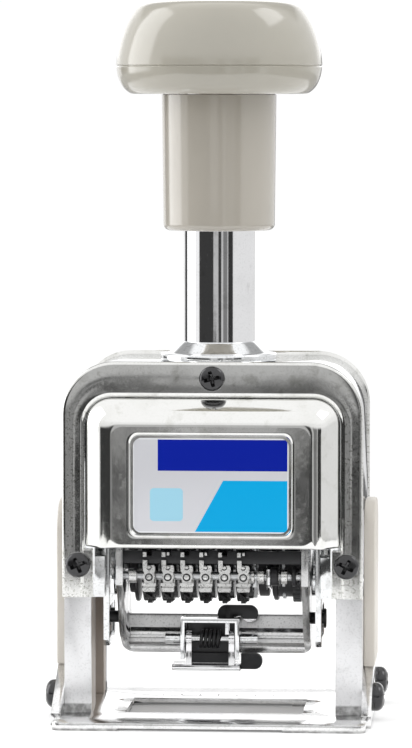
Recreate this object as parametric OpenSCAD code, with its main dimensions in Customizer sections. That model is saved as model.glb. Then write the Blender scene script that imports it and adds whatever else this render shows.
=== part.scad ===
// Hand-held automatic numbering machine, six wheels: a sprung housing slides down two base legs
// while the stirrup that carries the inked type wheels turns half a turn from pad to paper.
// Millimetres, +Z up, front faces -Y, origin on the ground below the handle's axis.

/* [Base] */
// Distance between the outer faces of the two ears
base_w = 73.8; // [72:0.2:80]
// Reach of the base plate in front of the handle's axis
base_front = 36.4; // [33:0.2:45]
// Reach of the base plate behind the handle's axis
base_rear = 23; // [22:0.5:32]
// Thickness of the base plate
plate_t = 1.8; // [1.2:0.1:2.4]
// Thickness of the upturned ears
ear_t = 2.3; // [1.4:0.1:2.4]
// Height of the ears
ear_h = 12; // [11:0.5:15]
// Width of the printing aperture
aperture_w = 41.2; // [40.5:0.2:44]
// Depth of the printing aperture
aperture_d = 24.5; // [20:0.5:27]
// Reach of the aperture behind the handle's axis
aperture_rear = 6.2; // [5.6:0.2:9]
// Depth of the shallow relief under the plate, between its two feet
foot_relief = 0.6; // [0.2:0.1:0.8]

/* [Legs] */
// Depth of each leg, front to back
leg_d = 39.4; // [37.8:0.2:40]
// Width of each leg, seen from the front
leg_w = 6.2; // [5.8:0.1:6.4]
// Thickness of the leg's sheet metal
leg_t = 1.5; // [1:0.1:1.8]
// Height of the shoulder where each leg narrows to enter the housing
leg_shoulder_z = 28.6; // [24:0.2:29]
// Height of the underside of the bridge that ties the legs together
bridge_z = 52; // [51:0.2:53]
// Thickness of the bridge
bridge_t = 4; // [3:0.2:4.6]
// Depth of the bridge, front to back
bridge_d = 9; // [8:0.5:9.6]
// Thickness of the side guards
guard_t = 2.6; // [1.5:0.05:3]
// Depth of the side guards
guard_d = 24; // [16:1:30]
// Height of the top of the side guards
guard_top = 50.4; // [50:0.2:56]
// Head diameter of the leg screws
leg_screw_head = 6.7; // [5.5:0.1:7.5]
// Distance between the two screws of a leg
leg_screw_gap = 28; // [20:0.5:29]
// Height of the leg screws above the ground
leg_screw_z = 5.4; // [5.2:0.05:7]

/* [Housing] */
// Width of the housing
housing_w = 69; // [68.4:0.1:69]
// Depth of the housing between the front and rear bezels' outer faces
housing_d = 46; // [45.6:0.2:48]
// Height of the housing's top above the ground, at rest
housing_top = 82.8; // [81:0.2:90]
// Height of the lower edge of the housing's cheeks, at rest
cheek_z = 29.1; // [28.9:0.1:33]
// Radius of the housing's upper corners
housing_r = 11.7; // [8:0.1:15]
// Thickness of the bezels
bezel_t = 1.2; // [0.8:0.1:1.6]
// Width of the bezel's side bands
band_w = 4.9; // [4.7:0.1:5.6]
// Width of the bezel's top band
band_top = 7.3; // [6.8:0.1:9]
// Width of the cheeks below the raised panel
cheek_w = 6.9; // [6.6:0.1:7.2]
// Height of the raised panel's lower edge
panel_z = 40.9; // [40:0.1:44]
// How far the raised panel stands out of the bezel
panel_rise = 4.5; // [3:0.1:6]
// Width of the label plate
label_w = 35.8; // [30:0.2:38]
// Height of the label plate
label_h = 21.8; // [18:0.2:24]
// Length of the press stroke
stroke = 18.7; // [17:0.1:18.9]

/* [Handle] */
// Outer diameter of the handle tube
tube_d = 16.7; // [16:0.1:18]
// Wall of the handle tube
tube_wall = 1; // [0.8:0.1:1.4]
// Diameter of the collar's flange
flange_d = 27.4; // [25:0.1:30]
// Diameter of the grip sleeve at its lower end
sleeve_d = 26.2; // [24:0.1:28]
// Height of the sleeve's lower end
sleeve_z = 113.4; // [110:0.1:120]
// Height of the knob's underside
knob_z = 145.3; // [142:0.1:150]
// Height of the knob
knob_h = 21.8; // [18:0.1:26]
// Largest diameter of the knob
knob_d = 48.4; // [44:0.1:52]
// Diameter of the guide rod
rod_d = 5; // [4:0.1:5.4]
// Wire of the return spring
spring_wire = 1.2; // [0.8:0.1:1.4]
// Turns of the return spring
spring_turns = 15; // [10:1:18]

/* [Printing head] */
// Sideways shift of the head from the handle's axis
head_x = -0.7; // [-1:0.1:0]
// Width of the stirrup over its arms
stirrup_w = 44.9; // [44.5:0.1:45]
// Thickness of the stirrup's sheet
stirrup_t = 1.6; // [1.2:0.1:1.8]
// Height of the trunnions at rest
trunnion_z = 31.3; // [31.1:0.1:31.5]
// Height of the wheel axle above the trunnions
axle_rise = 3.2; // [3.1:0.1:3.3]
// Diameter of the wheel axle
axle_d = 2.5; // [2:0.1:2.6]
// Number of number wheels
wheel_count = 6; // [6:1:6]
// Distance from one number wheel to the next
wheel_pitch = 4.41; // [4.1:0.01:4.45]
// Width of one number wheel
wheel_w = 3.9; // [3.4:0.05:4]
// Place of the first wheel's middle
first_wheel_x = -15.7; // [-16:0.1:-15.2]
// Radius to the face of the type
type_r = 9.1; // [8.8:0.1:9.2]
// Diameter of the detent pawls' shaft
pawl_shaft_d = 2; // [1.6:0.1:2.2]
// Width of a detent pawl
pawl_w = 3; // [2.4:0.1:3.2]
// Diameter of the selector dial
dial_d = 17.4; // [16:0.1:17.6]
// Running clearance of each shaft in its bore, on the radius
run_gap = 0.05; // [0.02:0.01:0.08]

/* [Hidden] */

CHROME = [0.82, 0.83, 0.85];
SATIN = [0.72, 0.73, 0.75];
BEIGE = [0.83, 0.80, 0.74];
BLACK = [0.12, 0.12, 0.13];
STEEL = [0.60, 0.61, 0.63];

slide_gap = 0.2;                                   // between faces that slide past each other
tiny = 0.01;

// Across the head, from head_x outwards: arms, trunnion brackets, cam arms
arm_out = stirrup_w / 2;
arm_in = arm_out - stirrup_t;
bracket_t = 1.2;
bracket_in = arm_out + 0.25;
bracket_out = bracket_in + bracket_t;
cam_t = 1.4;
cam_in = bracket_out + slide_gap;
cam_out = cam_in + cam_t;
pin_r = 1.4;
stud_r = 1.8;

// Across the housing, from the middle outwards: inner walls, necks of the legs, side walls
head_room = 1.1;                                   // between the cam arms and the inner walls
inner_wall_t = 0.9;
inner_wall_in = cam_out + abs(head_x) + head_room;
inner_wall_out = inner_wall_in + inner_wall_t;
neck_in = inner_wall_out + slide_gap;              // the legs above the shoulder
side_wall_out = housing_w / 2 - 0.1;
side_wall_t = 0.9;
neck_out = side_wall_out - side_wall_t - 0.3;
neck_web_in = neck_out - 1.2;
guard_in = max(base_w / 2 - ear_t, side_wall_out + slide_gap);

// The legs below the shoulder
leg_out = base_w / 2 - ear_t;
leg_in = leg_out - leg_w;
leg_web_in = leg_out - 2.6;
leg_hole_r = 1.8;
leg_head_h = 2.8;                                  // height of the leg screws' heads
side_wall_z = leg_shoulder_z + stroke + 1.2;       // the side walls clear the shoulders when pressed

// Along the housing, from the front face inwards: bezel, frame, legs
bezel_y = housing_d / 2;
frame_y = bezel_y - bezel_t;
frame_t = 1.9;
frame_in_y = frame_y - frame_t;
neck_y = min(leg_d / 2, frame_in_y - slide_gap);   // front and rear faces of the legs' necks
cover_head_h = 2;                                  // height of the cover screws' heads
bezel_side = 0.3;                                  // the bezels stand out past the housing's sides
bezel_lip = 0.95;                                  // and above its top
wall_t = 1.8;                                      // top of the housing body
ceiling_z = housing_top - wall_t;
guide_y0 = -6.8;                                   // groove in the slide guides
guide_y1 = 13;
groove_d = 2.4;
bridge_top = bridge_z + bridge_t;
rivet_r = 0.8;
rivet_y = bridge_d / 2 - 2;
rivet_z = bridge_z + 1.2;
screw_x = housing_w / 2 - 3.5;                     // places of the bezels' screws
screw_z = cheek_z + 7.6;
top_screw_z = housing_top - 3.2;
screw_r = 1.45;
screw_head_r = 2.9;

// The raised panel and its label
panel_half = housing_w / 2 - band_w - 0.9;
panel_top = housing_top - band_top - 0.9;
label_z = (panel_z + panel_top - panel_rise) / 2 + 0.05;
label_y = -bezel_y - panel_rise;
label_deep = 0.6;

// The printing head at rest
axle_z = trunnion_z + axle_rise;
crank_r = stroke / 2;
crank_z = trunnion_z - crank_r;
tie_y = 9.5;
tie_z = trunnion_z - 11;
tie_r = 0.8;
pawl_y = -11.4;
pawl_z = axle_z - 1.5;
comb_y = -13;
comb_t = 1.5;
comb_z = axle_z + 1.5;
web_drop = 18.6;                                   // from the trunnions down to the stirrup's web
bar_y = 6;
lever_y = 0.5;
lever_z = trunnion_z - 14.5;
lever_r = 0.8;
foot_z = lever_z - 7.2;
fork_left = -9;                                    // outer faces of the lever bracket's two prongs
fork_right = 4.9;
fork_t = 1;
wheels_left = first_wheel_x - wheel_w / 2;         // side faces of the row of wheels
wheels_right = first_wheel_x + (wheel_count - 1) * wheel_pitch + wheel_w / 2;
dial_x1 = head_x + arm_in - 0.55;                  // right face of the selector dial

// The ink tray
pad_z = axle_z + type_r + 0.5;                     // the pad clears the corners of the type
tray_z = pad_z + 2.6;
tray_t = 1.2;
tray_half = arm_in - 1.05;
lip_t = 1;

// The handle
tube_r = tube_d / 2;
tube_in = tube_r - tube_wall;
plug_z = knob_z - 9.3;
rod_r = rod_d / 2;
spring_r = rod_r + spring_wire / 2 + 2;
seat_t = 1.5;

// The footprint's middle is the origin, so the handle's axis stands this far behind it
rear_reach = max(knob_d / 2, bezel_y + cover_head_h, base_rear);
axis_y = (base_front - rear_reach) / 2;

// ---- shapes that repeat -------------------------------------------------------------------

module on_axis() {
    translate([0, axis_y, 0]) children();
}

module mirrored_x() {
    children();
    mirror([1, 0, 0]) children();
}

// A cylinder along X from x0 to x1, through the point (y, z)
module rod_x(x0, x1, y, z, r) {
    translate([x0, y, z]) rotate([0, 90, 0]) cylinder(r = r, h = x1 - x0);
}

// A plate across X from x0 to x1, with its outline given as [y, z] points
module plate_x(x0, x1, points) {
    translate([x0, 0, 0]) rotate([90, 0, 90]) linear_extrude(x1 - x0) polygon(points);
}

module box(low, high) {
    translate(low) cube(high - low);
}

// Rectangle from (x0, z0) to (x1, z1) in the X-Z plane with round upper corners
module arch_outline(half_w, z0, z1, r) {
    translate([-half_w, z0]) square([2 * half_w, z1 - r - z0]);
    translate([-half_w + r, z0]) square([2 * (half_w - r), z1 - z0]);
    for (side = [-1, 1]) translate([side * (half_w - r), z1 - r]) circle(r = r);
}

// The outline above, made into a plate between two depths
module arch_plate(y0, y1, half_w, z0, z1, r) {
    translate([0, y1, 0]) rotate([90, 0, 0]) linear_extrude(y1 - y0) arch_outline(half_w, z0, z1, r);
}

// Pan-head screw with its head's seat at the origin, head towards +Z, and a cross recess
module pan_screw(head_r, head_h, shank_r, shank_l) {
    difference() {
        union() {
            rotate_extrude() polygon(concat(
                [[0, 0], [head_r, 0], [head_r, head_h * 0.35]],
                [for (a = [15 : 15 : 75]) [head_r - head_h * 0.65 * (1 - cos(a)) - 0.02 * a,
                                          head_h * (0.35 + 0.65 * sin(a))]],
                [[0, head_h]]));
            translate([0, 0, -shank_l]) cylinder(r = shank_r, h = shank_l + tiny);
        }
        for (turn = [0, 90]) rotate([0, 0, turn])
            translate([-head_r * 0.55, -head_r * 0.13, head_h * 0.45])
                cube([head_r * 1.1, head_r * 0.26, head_h]);
    }
}

// Helix of round wire about +Z, as one closed mesh of rings
function ring_point(r, wire_r, turn, z, a) =
    [(r + wire_r * cos(a)) * cos(turn), (r + wire_r * cos(a)) * sin(turn), z + wire_r * sin(a)];

module helix(r, wire_r, height, turns, per_turn = 14, sides = 6) {
    rings = turns * per_turn;
    points = [for (i = [0 : rings], k = [0 : sides - 1])
        ring_point(r, wire_r, 360 * i / per_turn, height * i / rings, 360 * k / sides)];
    sides_faces = [for (i = [0 : rings - 1], k = [0 : sides - 1])
        [i * sides + k, i * sides + (k + 1) % sides,
         (i + 1) * sides + (k + 1) % sides, (i + 1) * sides + k]];
    low = [for (k = [sides - 1 : -1 : 0]) k];
    high = [for (k = [0 : sides - 1]) rings * sides + k];
    polyhedron(points, concat([low], sides_faces, [high]), convexity = 10);
}

// ---- base ---------------------------------------------------------------------------------

module ear() {
    front = 8 - base_front;
    rear = base_rear - 2;
    heel = plate_t + 1;
    plate_x(leg_out, leg_out + ear_t, [
        [front, 0], [rear, 0], [rear, heel], [rear - 3, ear_h], [-guard_d / 2, ear_h], [front, heel]]);
}

// One end of the aperture: two pointed notches
module notch(side) {
    length = 3.8;
    half = 2.4;
    inset = 3.4;
    for (y = [aperture_rear - inset, aperture_rear - aperture_d + inset])
        translate([side * aperture_w / 2, y, 0]) scale([side, 1, 1])
            linear_extrude(3 * plate_t, center = true)
                polygon([[-tiny, half], [length / 2, half * 0.7], [length, 0],
                         [length / 2, -half * 0.7], [-tiny, -half]]);
}

module base_plate() {
    first_tick_x = first_wheel_x + 1.6;
    tick_w = 0.4;
    tick_y = aperture_rear + 3.2;
    tick_l = 3.4;
    tick_deep = 0.25;
    relief_left = -aperture_w / 2 - 0.1;
    relief_right = aperture_w / 2 - 3.6;
    corner = 1.8;
    color(CHROME) on_axis() difference() {
        union() {
            box([1 - base_w / 2, corner - base_front, 0], [base_w / 2 - 1, base_rear, plate_t]);
            box([corner + 1 - base_w / 2, -base_front, 0],
                [base_w / 2 - 1 - corner, corner - base_front + tiny, plate_t]);
            mirrored_x() translate([base_w / 2 - 1 - corner, corner - base_front, 0])
                cylinder(r = corner, h = plate_t);
            mirrored_x() ear();
        }
        box([-aperture_w / 2, aperture_rear - aperture_d, -1],
            [aperture_w / 2, aperture_rear, plate_t + 1]);
        notch(-1);
        notch(1);
        box([relief_left, -base_front - 1, -1], [relief_right, base_rear + 1, foot_relief]);
        for (i = [0 : wheel_count]) translate([first_tick_x + i * wheel_pitch, tick_y, plate_t - tick_deep])
            box([-tick_w / 2, 0, 0], [tick_w / 2, tick_l, 1]);
        for (y = [-1, 1] * leg_screw_gap / 2)
            rod_x(-base_w, base_w, y, leg_screw_z, leg_hole_r);
    }
}

// The right leg: a channel, open inwards, that narrows at the shoulder into a neck
module leg() {
    cut = 3;
    joggle = 4;
    flange_in = min(leg_in, neck_in);
    flange_out = max(leg_out, neck_out);
    difference() {
        union() {
            for (y = [-leg_d / 2, leg_d / 2 - leg_t]) {
                box([leg_in, y, plate_t], [leg_out, y + leg_t, leg_shoulder_z]);
                box([flange_in, y, leg_shoulder_z - joggle], [flange_out, y + leg_t, leg_shoulder_z]);
            }
            box([leg_web_in, -leg_d / 2, plate_t], [leg_out, leg_d / 2, leg_shoulder_z]);
            for (y = [-neck_y, neck_y - leg_t])
                neck_plate(y, y + leg_t, neck_in, bridge_top, cut);
            neck_plate(-neck_y, neck_y, neck_web_in, bridge_top - cut + neck_out - neck_web_in, cut);
        }
        for (y = [-1, 1] * leg_screw_gap / 2)
            rod_x(leg_web_in - 1, leg_out + 1, y, leg_screw_z, leg_hole_r);
        for (y = [-1, 1] * rivet_y)
            rod_x(neck_web_in - 1, neck_out + 1, y, rivet_z, rivet_r + run_gap);
    }
}

// One wall of the neck between two depths, with its upper outer corner cut off
module neck_plate(y0, y1, x0, top, cut) {
    translate([0, y1, 0]) rotate([90, 0, 0]) linear_extrude(y1 - y0) polygon([
        [x0, leg_shoulder_z - 1], [neck_out, leg_shoulder_z - 1], [neck_out, bridge_top - cut],
        [x0 < neck_web_in ? neck_out - cut : x0, top], [x0, top]]);
}

module left_leg() {
    color(CHROME) on_axis() mirror([1, 0, 0]) leg();
}

module right_leg() {
    color(CHROME) on_axis() leg();
}

// The right slide guide: fills the channel and has a wide groove for the housing's rib
module slide_guide() {
    low_in = max(min(leg_in, neck_in) + slide_gap, cam_out + abs(head_x) + 0.3);
    low_out = min(leg_web_in, neck_web_in);
    low_y = leg_d / 2 - leg_t;
    y = neck_y - leg_t;
    difference() {
        union() {
            box([low_in, -low_y, plate_t], [low_out, low_y, leg_shoulder_z + 0.5]);
            box([low_in, -min(y, low_y), leg_shoulder_z], [neck_web_in, min(y, low_y), leg_shoulder_z + 0.5]);
            box([neck_in + slide_gap, -y, leg_shoulder_z], [neck_web_in, y, bridge_z]);
        }
        box([low_in - 1, guide_y0, plate_t - 1], [neck_in + slide_gap + groove_d, guide_y1, bridge_z + 1]);
    }
}

module left_slide_guide() {
    color(BEIGE) on_axis() mirror([1, 0, 0]) slide_guide();
}

module right_slide_guide() {
    color(BEIGE) on_axis() slide_guide();
}

// The right side guard: a plastic plate with a round top that hides the sliding joint
module side_guard() {
    r = guard_d / 3;
    y = guard_d / 2;
    plate_x(guard_in, guard_in + guard_t, concat(
        [[-y, ear_h], [y, ear_h]],
        [for (a = [0 : 15 : 90]) [y - r + r * cos(a), guard_top - r + r * sin(a)]],
        [for (a = [90 : 15 : 180]) [-y + r + r * cos(a), guard_top - r + r * sin(a)]]));
    box([leg_out, -y, ear_h], [guard_in + guard_t, y, leg_shoulder_z - 4]);
}

module left_side_guard() {
    color(BEIGE) on_axis() mirror([1, 0, 0]) side_guard();
}

module right_side_guard() {
    color(BEIGE) on_axis() side_guard();
}

module leg_screws() {
    color(BLACK) on_axis() mirrored_x()
        for (y = [-1, 1] * leg_screw_gap / 2)
            translate([base_w / 2, y, leg_screw_z]) rotate([0, 90, 0])
                pan_screw(leg_screw_head / 2, leg_head_h, leg_hole_r - run_gap, base_w / 2 - leg_web_in);
}

module bridge() {
    color(STEEL) on_axis() difference() {
        box([-neck_web_in, -bridge_d / 2, bridge_z], [neck_web_in, bridge_d / 2, bridge_top]);
        translate([0, 0, bridge_z - 1]) cylinder(r = rod_r + run_gap, h = bridge_t + 2);
        mirrored_x() for (y = [-1, 1] * rivet_y)
            rod_x(neck_web_in - 4, neck_out, y, rivet_z, rivet_r + run_gap);
    }
}

module bridge_rivets() {
    color(STEEL) on_axis() mirrored_x() for (y = [-1, 1] * rivet_y)
        rod_x(neck_web_in - 4, neck_out, y, rivet_z, rivet_r);
}

module guide_rod() {
    color(STEEL) on_axis() {
        translate([0, 0, bridge_z]) cylinder(r = rod_r, h = plug_z - stroke - 1.3 - bridge_z);
        translate([0, 0, bridge_top]) cylinder(r = spring_r + spring_wire / 2, h = seat_t);
    }
}

module return_spring() {
    low = bridge_top + seat_t + spring_wire / 2;
    high = plug_z - spring_wire / 2;
    color(STEEL) on_axis() translate([0, 0, low]) helix(spring_r, spring_wire / 2, high - low, spring_turns);
}

// One cam arm: hangs from the bridge and holds a crank pin's window at a fixed height.
// Its stations across X are x0 and x1.
module cam_arm(x0, x1) {
    reach = crank_r + pin_r + 0.4;
    half = crank_r * 0.21 + pin_r + 0.35;
    rim = 1.8;
    y0 = -reach - rim;
    difference() {
        plate_x(x0, x1, [
            [y0, bridge_z], [y0, crank_z - half - 0.3], [y0 + 1.5, crank_z - half - rim],
            [1.5, crank_z - half - rim], [3.5, crank_z - half + 0.2], [3.5, crank_z + half],
            [1.5, crank_z + half + rim], [y0 + 6.5, crank_z + half + rim], [y0 + 6.5, bridge_z - 4],
            [bridge_d / 2, bridge_z - 4], [bridge_d / 2, bridge_z]]);
        box([x0 - 1, -reach, crank_z - half], [x1 + 1, pin_r + 0.4, crank_z + half]);
    }
}

module left_cam_arm() {
    color(CHROME) on_axis() cam_arm(head_x - cam_out, head_x - cam_in);
}

module right_cam_arm() {
    color(CHROME) on_axis() cam_arm(head_x + cam_in, head_x + cam_out);
}

// Two angle rails under the bridge that carry the ink tray
module pad_rails() {
    wall = tray_t;
    rail_out = tray_half + slide_gap + wall;
    ledge = 2 * wall;
    front = -11;
    rear = 13;
    ledge_z = tray_z - slide_gap;
    color(STEEL) on_axis() translate([head_x, 0, 0]) mirrored_x() {
        box([rail_out - wall, front, ledge_z - lip_t], [rail_out, rear, bridge_z]);
        box([rail_out - ledge, front, ledge_z - lip_t], [rail_out, rear, ledge_z]);
    }
}

// ---- ink tray -----------------------------------------------------------------------------

module ink_tray() {
    half = tray_half;
    front = -10;
    rear = 12;
    tab_half = 6;
    tab_rear = 20.5;
    rim_t = 1.2;
    color(BLACK) on_axis() translate([head_x, 0, 0]) {
        box([-half, front, tray_z], [half, rear, tray_z + tray_t]);
        box([-tab_half, rear - tiny, tray_z], [tab_half, tab_rear, tray_z + tray_t]);
        box([-tab_half, tab_rear - rim_t, tray_z], [tab_half, tab_rear, tray_z + 3.6]);
        box([-half, front, tray_z], [half, front + rim_t, tray_z + 2.2]);
    }
}

module ink_pad() {
    edge = 0.5;
    half_d = 7;
    color([0.10, 0.10, 0.14]) on_axis()
        box([wheels_left - edge, -half_d, pad_z], [wheels_right + edge, half_d, tray_z]);
}

// ---- housing ------------------------------------------------------------------------------

// The right inner wall: slotted up to the ceiling for the bridge, with a rib for the slide guide
// and two lower lugs
module inner_wall() {
    slot_y = bridge_d / 2 + 0.7;
    slot_low = bridge_z - 0.7;
    slot_high = ceiling_z + tiny;
    rib_gap = 0.4;
    lug_y = frame_in_y - 4.9;
    lug_d = frame_y - lug_y;
    lug_h = 9.4;
    lug_reach = 2.3;
    difference() {
        box([inner_wall_in, -frame_in_y - tiny, cheek_z], [inner_wall_out, frame_in_y + tiny, ceiling_z]);
        box([inner_wall_in - 1, -slot_y, slot_low], [inner_wall_out + 1, slot_y, slot_high]);
    }
    box([inner_wall_out - tiny, guide_y0 + rib_gap, cheek_z + 0.2],
        [inner_wall_out + groove_d - rib_gap, guide_y1 - rib_gap, bridge_z - 5]);
    for (y = [-frame_y + tiny, lug_y])
        box([inner_wall_in - lug_reach, y, cheek_z],
            [inner_wall_in + tiny, y + lug_d - tiny, cheek_z + lug_h]);
}

module housing_body() {
    half = side_wall_out;
    color(CHROME) on_axis() difference() {
        union() {
            difference() {
                arch_plate(-frame_y, frame_y, half, cheek_z, housing_top, housing_r);
                arch_plate(-frame_in_y, frame_in_y, half - side_wall_t, cheek_z - 1,
                           ceiling_z, housing_r - side_wall_t);
                arch_plate(-bezel_y, bezel_y, inner_wall_in, cheek_z - 1, housing_top - band_top, 6);
                mirrored_x() box([neck_out - 2, -frame_in_y, 0], [half + 1, frame_in_y, side_wall_z]);
            }
            mirrored_x() inner_wall();
            translate([0, 0, ceiling_z - 2]) cylinder(r = tube_r + 3, h = wall_t + 1);
        }
        translate([0, 0, ceiling_z - 3]) cylinder(r = tube_r + run_gap, h = wall_t + 6);
        for (y = [-frame_in_y + 1, frame_y + 1])
            for (place = [[-screw_x, screw_z], [screw_x, screw_z], [0, top_screw_z]])
                translate([place[0], y, place[1]]) rotate([90, 0, 0])
                    cylinder(r = screw_r + run_gap, h = frame_t + 2);
    }
}

// The flat band of a bezel, as a plate between two depths
module bezel_plate(y0, y1, window_w, window_top, window_r) {
    difference() {
        arch_plate(y0, y1, housing_w / 2 + bezel_side, cheek_z, housing_top + bezel_lip,
                   housing_r + (bezel_side + bezel_lip) / 2);
        arch_plate(y0 - 1, y1 + 1, window_w, cheek_z - 1, window_top, window_r);
        for (place = [[-screw_x, screw_z], [screw_x, screw_z], [0, top_screw_z]])
            translate([place[0], y1 + 1, place[1]]) rotate([90, 0, 0])
                cylinder(r = screw_r + 3 * run_gap, h = y1 - y0 + 2);
    }
}

module front_bezel() {
    color(CHROME) on_axis() {
        bezel_plate(-bezel_y, -frame_y, housing_w / 2 - band_w, housing_top - band_top, 6.4);
        mirrored_x() box([housing_w / 2 - cheek_w, -bezel_y, cheek_z],
                         [housing_w / 2 - band_w + tiny, -frame_y, panel_z - 1]);
    }
}

module rear_bezel() {
    window_half = inner_wall_in - 5.3;
    color(CHROME) on_axis() bezel_plate(frame_y, bezel_y, window_half, ceiling_z - 10, 5);
}

// The raised panel: a hollow pressing with slanted sides and a recess for the label
module panel_form(shrink, y_base, y_face) {
    half = panel_half - shrink;
    top = panel_top - shrink;
    inset = panel_rise;
    hull() {
        arch_plate(y_base - tiny, y_base, half, panel_z, top, 5.5);
        arch_plate(y_face, y_face + tiny, half - inset, panel_z, top - inset, 2.6);
    }
}

// The room the label lies in, with a margin all round
module label_room(margin, y0, y1) {
    box([-label_w / 2 - margin, y0, label_z - label_h / 2 - margin],
        [label_w / 2 + margin, y1, label_z + label_h / 2 + margin]);
}

module front_panel() {
    skin = 0.9;
    open_half = panel_half - 2.1;
    color(CHROME) on_axis() difference() {
        union() {
            arch_plate(-frame_y - 0.6, -frame_y, panel_half + 0.8, panel_z, panel_top + 0.8, 6.3);
            panel_form(0, -frame_y - 0.5, label_y);
        }
        difference() {
            panel_form(skin, -frame_y + 1, label_y + skin);
            label_room(2.5, label_y, label_y + label_deep + skin);
        }
        label_room(0.4, label_y - 1, label_y + label_deep);
        box([-open_half, -frame_y - 1, panel_z - 1], [open_half, -frame_y + 1, panel_z + tiny]);
    }
}

module label_plate() {
    r = 1.9;
    color([0.80, 0.82, 0.84]) on_axis()
        translate([0, label_y + label_deep, label_z]) rotate([90, 0, 0]) linear_extrude(0.35) {
        square([label_w - 2 * r, label_h], center = true);
        square([label_w, label_h - 2 * r], center = true);
        for (sx = [-1, 1], sz = [-1, 1])
            translate([sx * (label_w / 2 - r), sz * (label_h / 2 - r)]) circle(r = r);
    }
}

// Six equal screws: three hold each bezel
module cover_screws() {
    color(BLACK) on_axis() for (turn = [0, 180]) rotate([0, 0, turn])
        for (place = [[-screw_x, screw_z], [screw_x, screw_z], [0, top_screw_z]])
            translate([place[0], -bezel_y, place[1]]) rotate([90, 0, 0])
                pan_screw(screw_head_r, cover_head_h, screw_r, bezel_t + frame_t);
}

// ---- handle -------------------------------------------------------------------------------

module collar() {
    flange_h = 1.8;
    cone_h = 2.8;
    cone_r = flange_d / 2 - 1.8;
    rim = 0.3;
    color(CHROME) on_axis() translate([0, 0, housing_top]) rotate_extrude() polygon([
        [tube_r + run_gap, 0], [flange_d / 2 - rim, 0], [flange_d / 2, rim], [flange_d / 2, flange_h - rim],
        [flange_d / 2 - rim, flange_h], [cone_r, flange_h], [tube_r + 0.7, flange_h + cone_h],
        [tube_r + run_gap, flange_h + cone_h]]);
}

module handle_tube() {
    low = ceiling_z - 2;
    color(CHROME) on_axis() difference() {
        translate([0, 0, low]) cylinder(r = tube_r, h = knob_z + 5 - low);
        translate([0, 0, low - 1]) cylinder(r = tube_in, h = knob_z + 7 - low);
    }
}

module spring_plug() {
    color(STEEL) on_axis() translate([0, 0, plug_z]) cylinder(r = tube_in, h = 6);
}

module grip_sleeve() {
    r0 = sleeve_d / 2;
    r1 = r0 + 0.35;
    edge = 1.4;
    color(BEIGE) on_axis() rotate_extrude() polygon(concat(
        [[tube_r, sleeve_z], [r0 - edge, sleeve_z]],
        [for (a = [-75 : 15 : 0]) [r0 - edge + edge * cos(a), sleeve_z + edge + edge * sin(a)]],
        [[r1, knob_z], [tube_r, knob_z]]));
}

// Half-profile of the knob: three elliptical arcs, from the underside to the crown
seam_z = knob_z + knob_h * 0.3;
function knob_lower(a) = [knob_d / 2 - 3.6 + 3.6 * cos(a), seam_z + (seam_z - knob_z) * sin(a)];
function knob_upper(a) = [knob_d / 2 - 8.2 + 8.2 * cos(a), seam_z + (knob_h * 0.7 - 0.9) * sin(a)];

module knob_body() {
    color(BEIGE) on_axis() difference() {
        rotate_extrude() polygon(concat(
            [[tube_r, knob_z]],
            [for (a = [-90 : 10 : 0]) knob_lower(a)],
            [[knob_d / 2 - 2.4, seam_z], [tube_r, seam_z]]));
        translate([0, 0, knob_z + 2.4]) difference() {
            cylinder(r = knob_d / 2 - 5, h = knob_h);
            translate([0, 0, -1]) cylinder(r = tube_r + 2.4, h = knob_h + 2);
        }
    }
}

module knob_cap() {
    crown = knob_z + knob_h;
    wall = 2.2;
    color(BEIGE) on_axis() rotate_extrude() polygon(concat(
        [for (a = [0 : 7.5 : 90]) knob_upper(a)],
        [[knob_d / 2 - 12, crown - 0.25], [4, crown], [0, crown], [0, crown - wall],
         [knob_d / 2 - 13, crown - wall - 0.9]],
        [for (a = [75 : -15 : 0]) [knob_d / 2 - 8.2 + (8.2 - wall) * cos(a),
                                   seam_z + (knob_h * 0.7 - 0.9 - wall) * sin(a)]]));
}

// ---- trunnion brackets, fixed to the housing ----------------------------------------------

module trunnion_bracket(side) {
    inner = head_x + side * bracket_in;
    outer = head_x + side * bracket_out;
    wall = side * inner_wall_in;
    x0 = min(inner, outer);
    x1 = max(inner, outer);
    boss_r = 4.2;
    rear = 17.4;
    front = 14.6;
    top = trunnion_z + 18;
    color(CHROME) on_axis() difference() {
        union() {
            rod_x(x0, x1, 0, trunnion_z, boss_r);
            plate_x(x0, x1, [[-1, trunnion_z + 3.9], [3.6, trunnion_z - 2],
                             [rear, trunnion_z + 9], [rear, top], [front, top]]);
            box([min(inner, wall), front, trunnion_z + 9.2], [max(inner, wall), rear, top]);
        }
        rod_x(x0 - 1, x1 + 1, 0, trunnion_z, stud_r + run_gap);
    }
}

module left_trunnion_bracket() {
    trunnion_bracket(-1);
}

module right_trunnion_bracket() {
    trunnion_bracket(1);
}

// ---- printing head: stirrup and what it carries -------------------------------------------

// Outline of an arm, from the trunnion's middle
ARM = [[-13.6, -0.4], [-13.6, 8.1], [-9.5, 9.9], [-2, 9.9], [5, 3.7], [8.5, -6.3], [15, -16.3],
       [13.5, -web_drop], [6.5, -web_drop], [-4.5, -12.7], [-9.4, -5.1], [-12, -1.2]];

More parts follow.
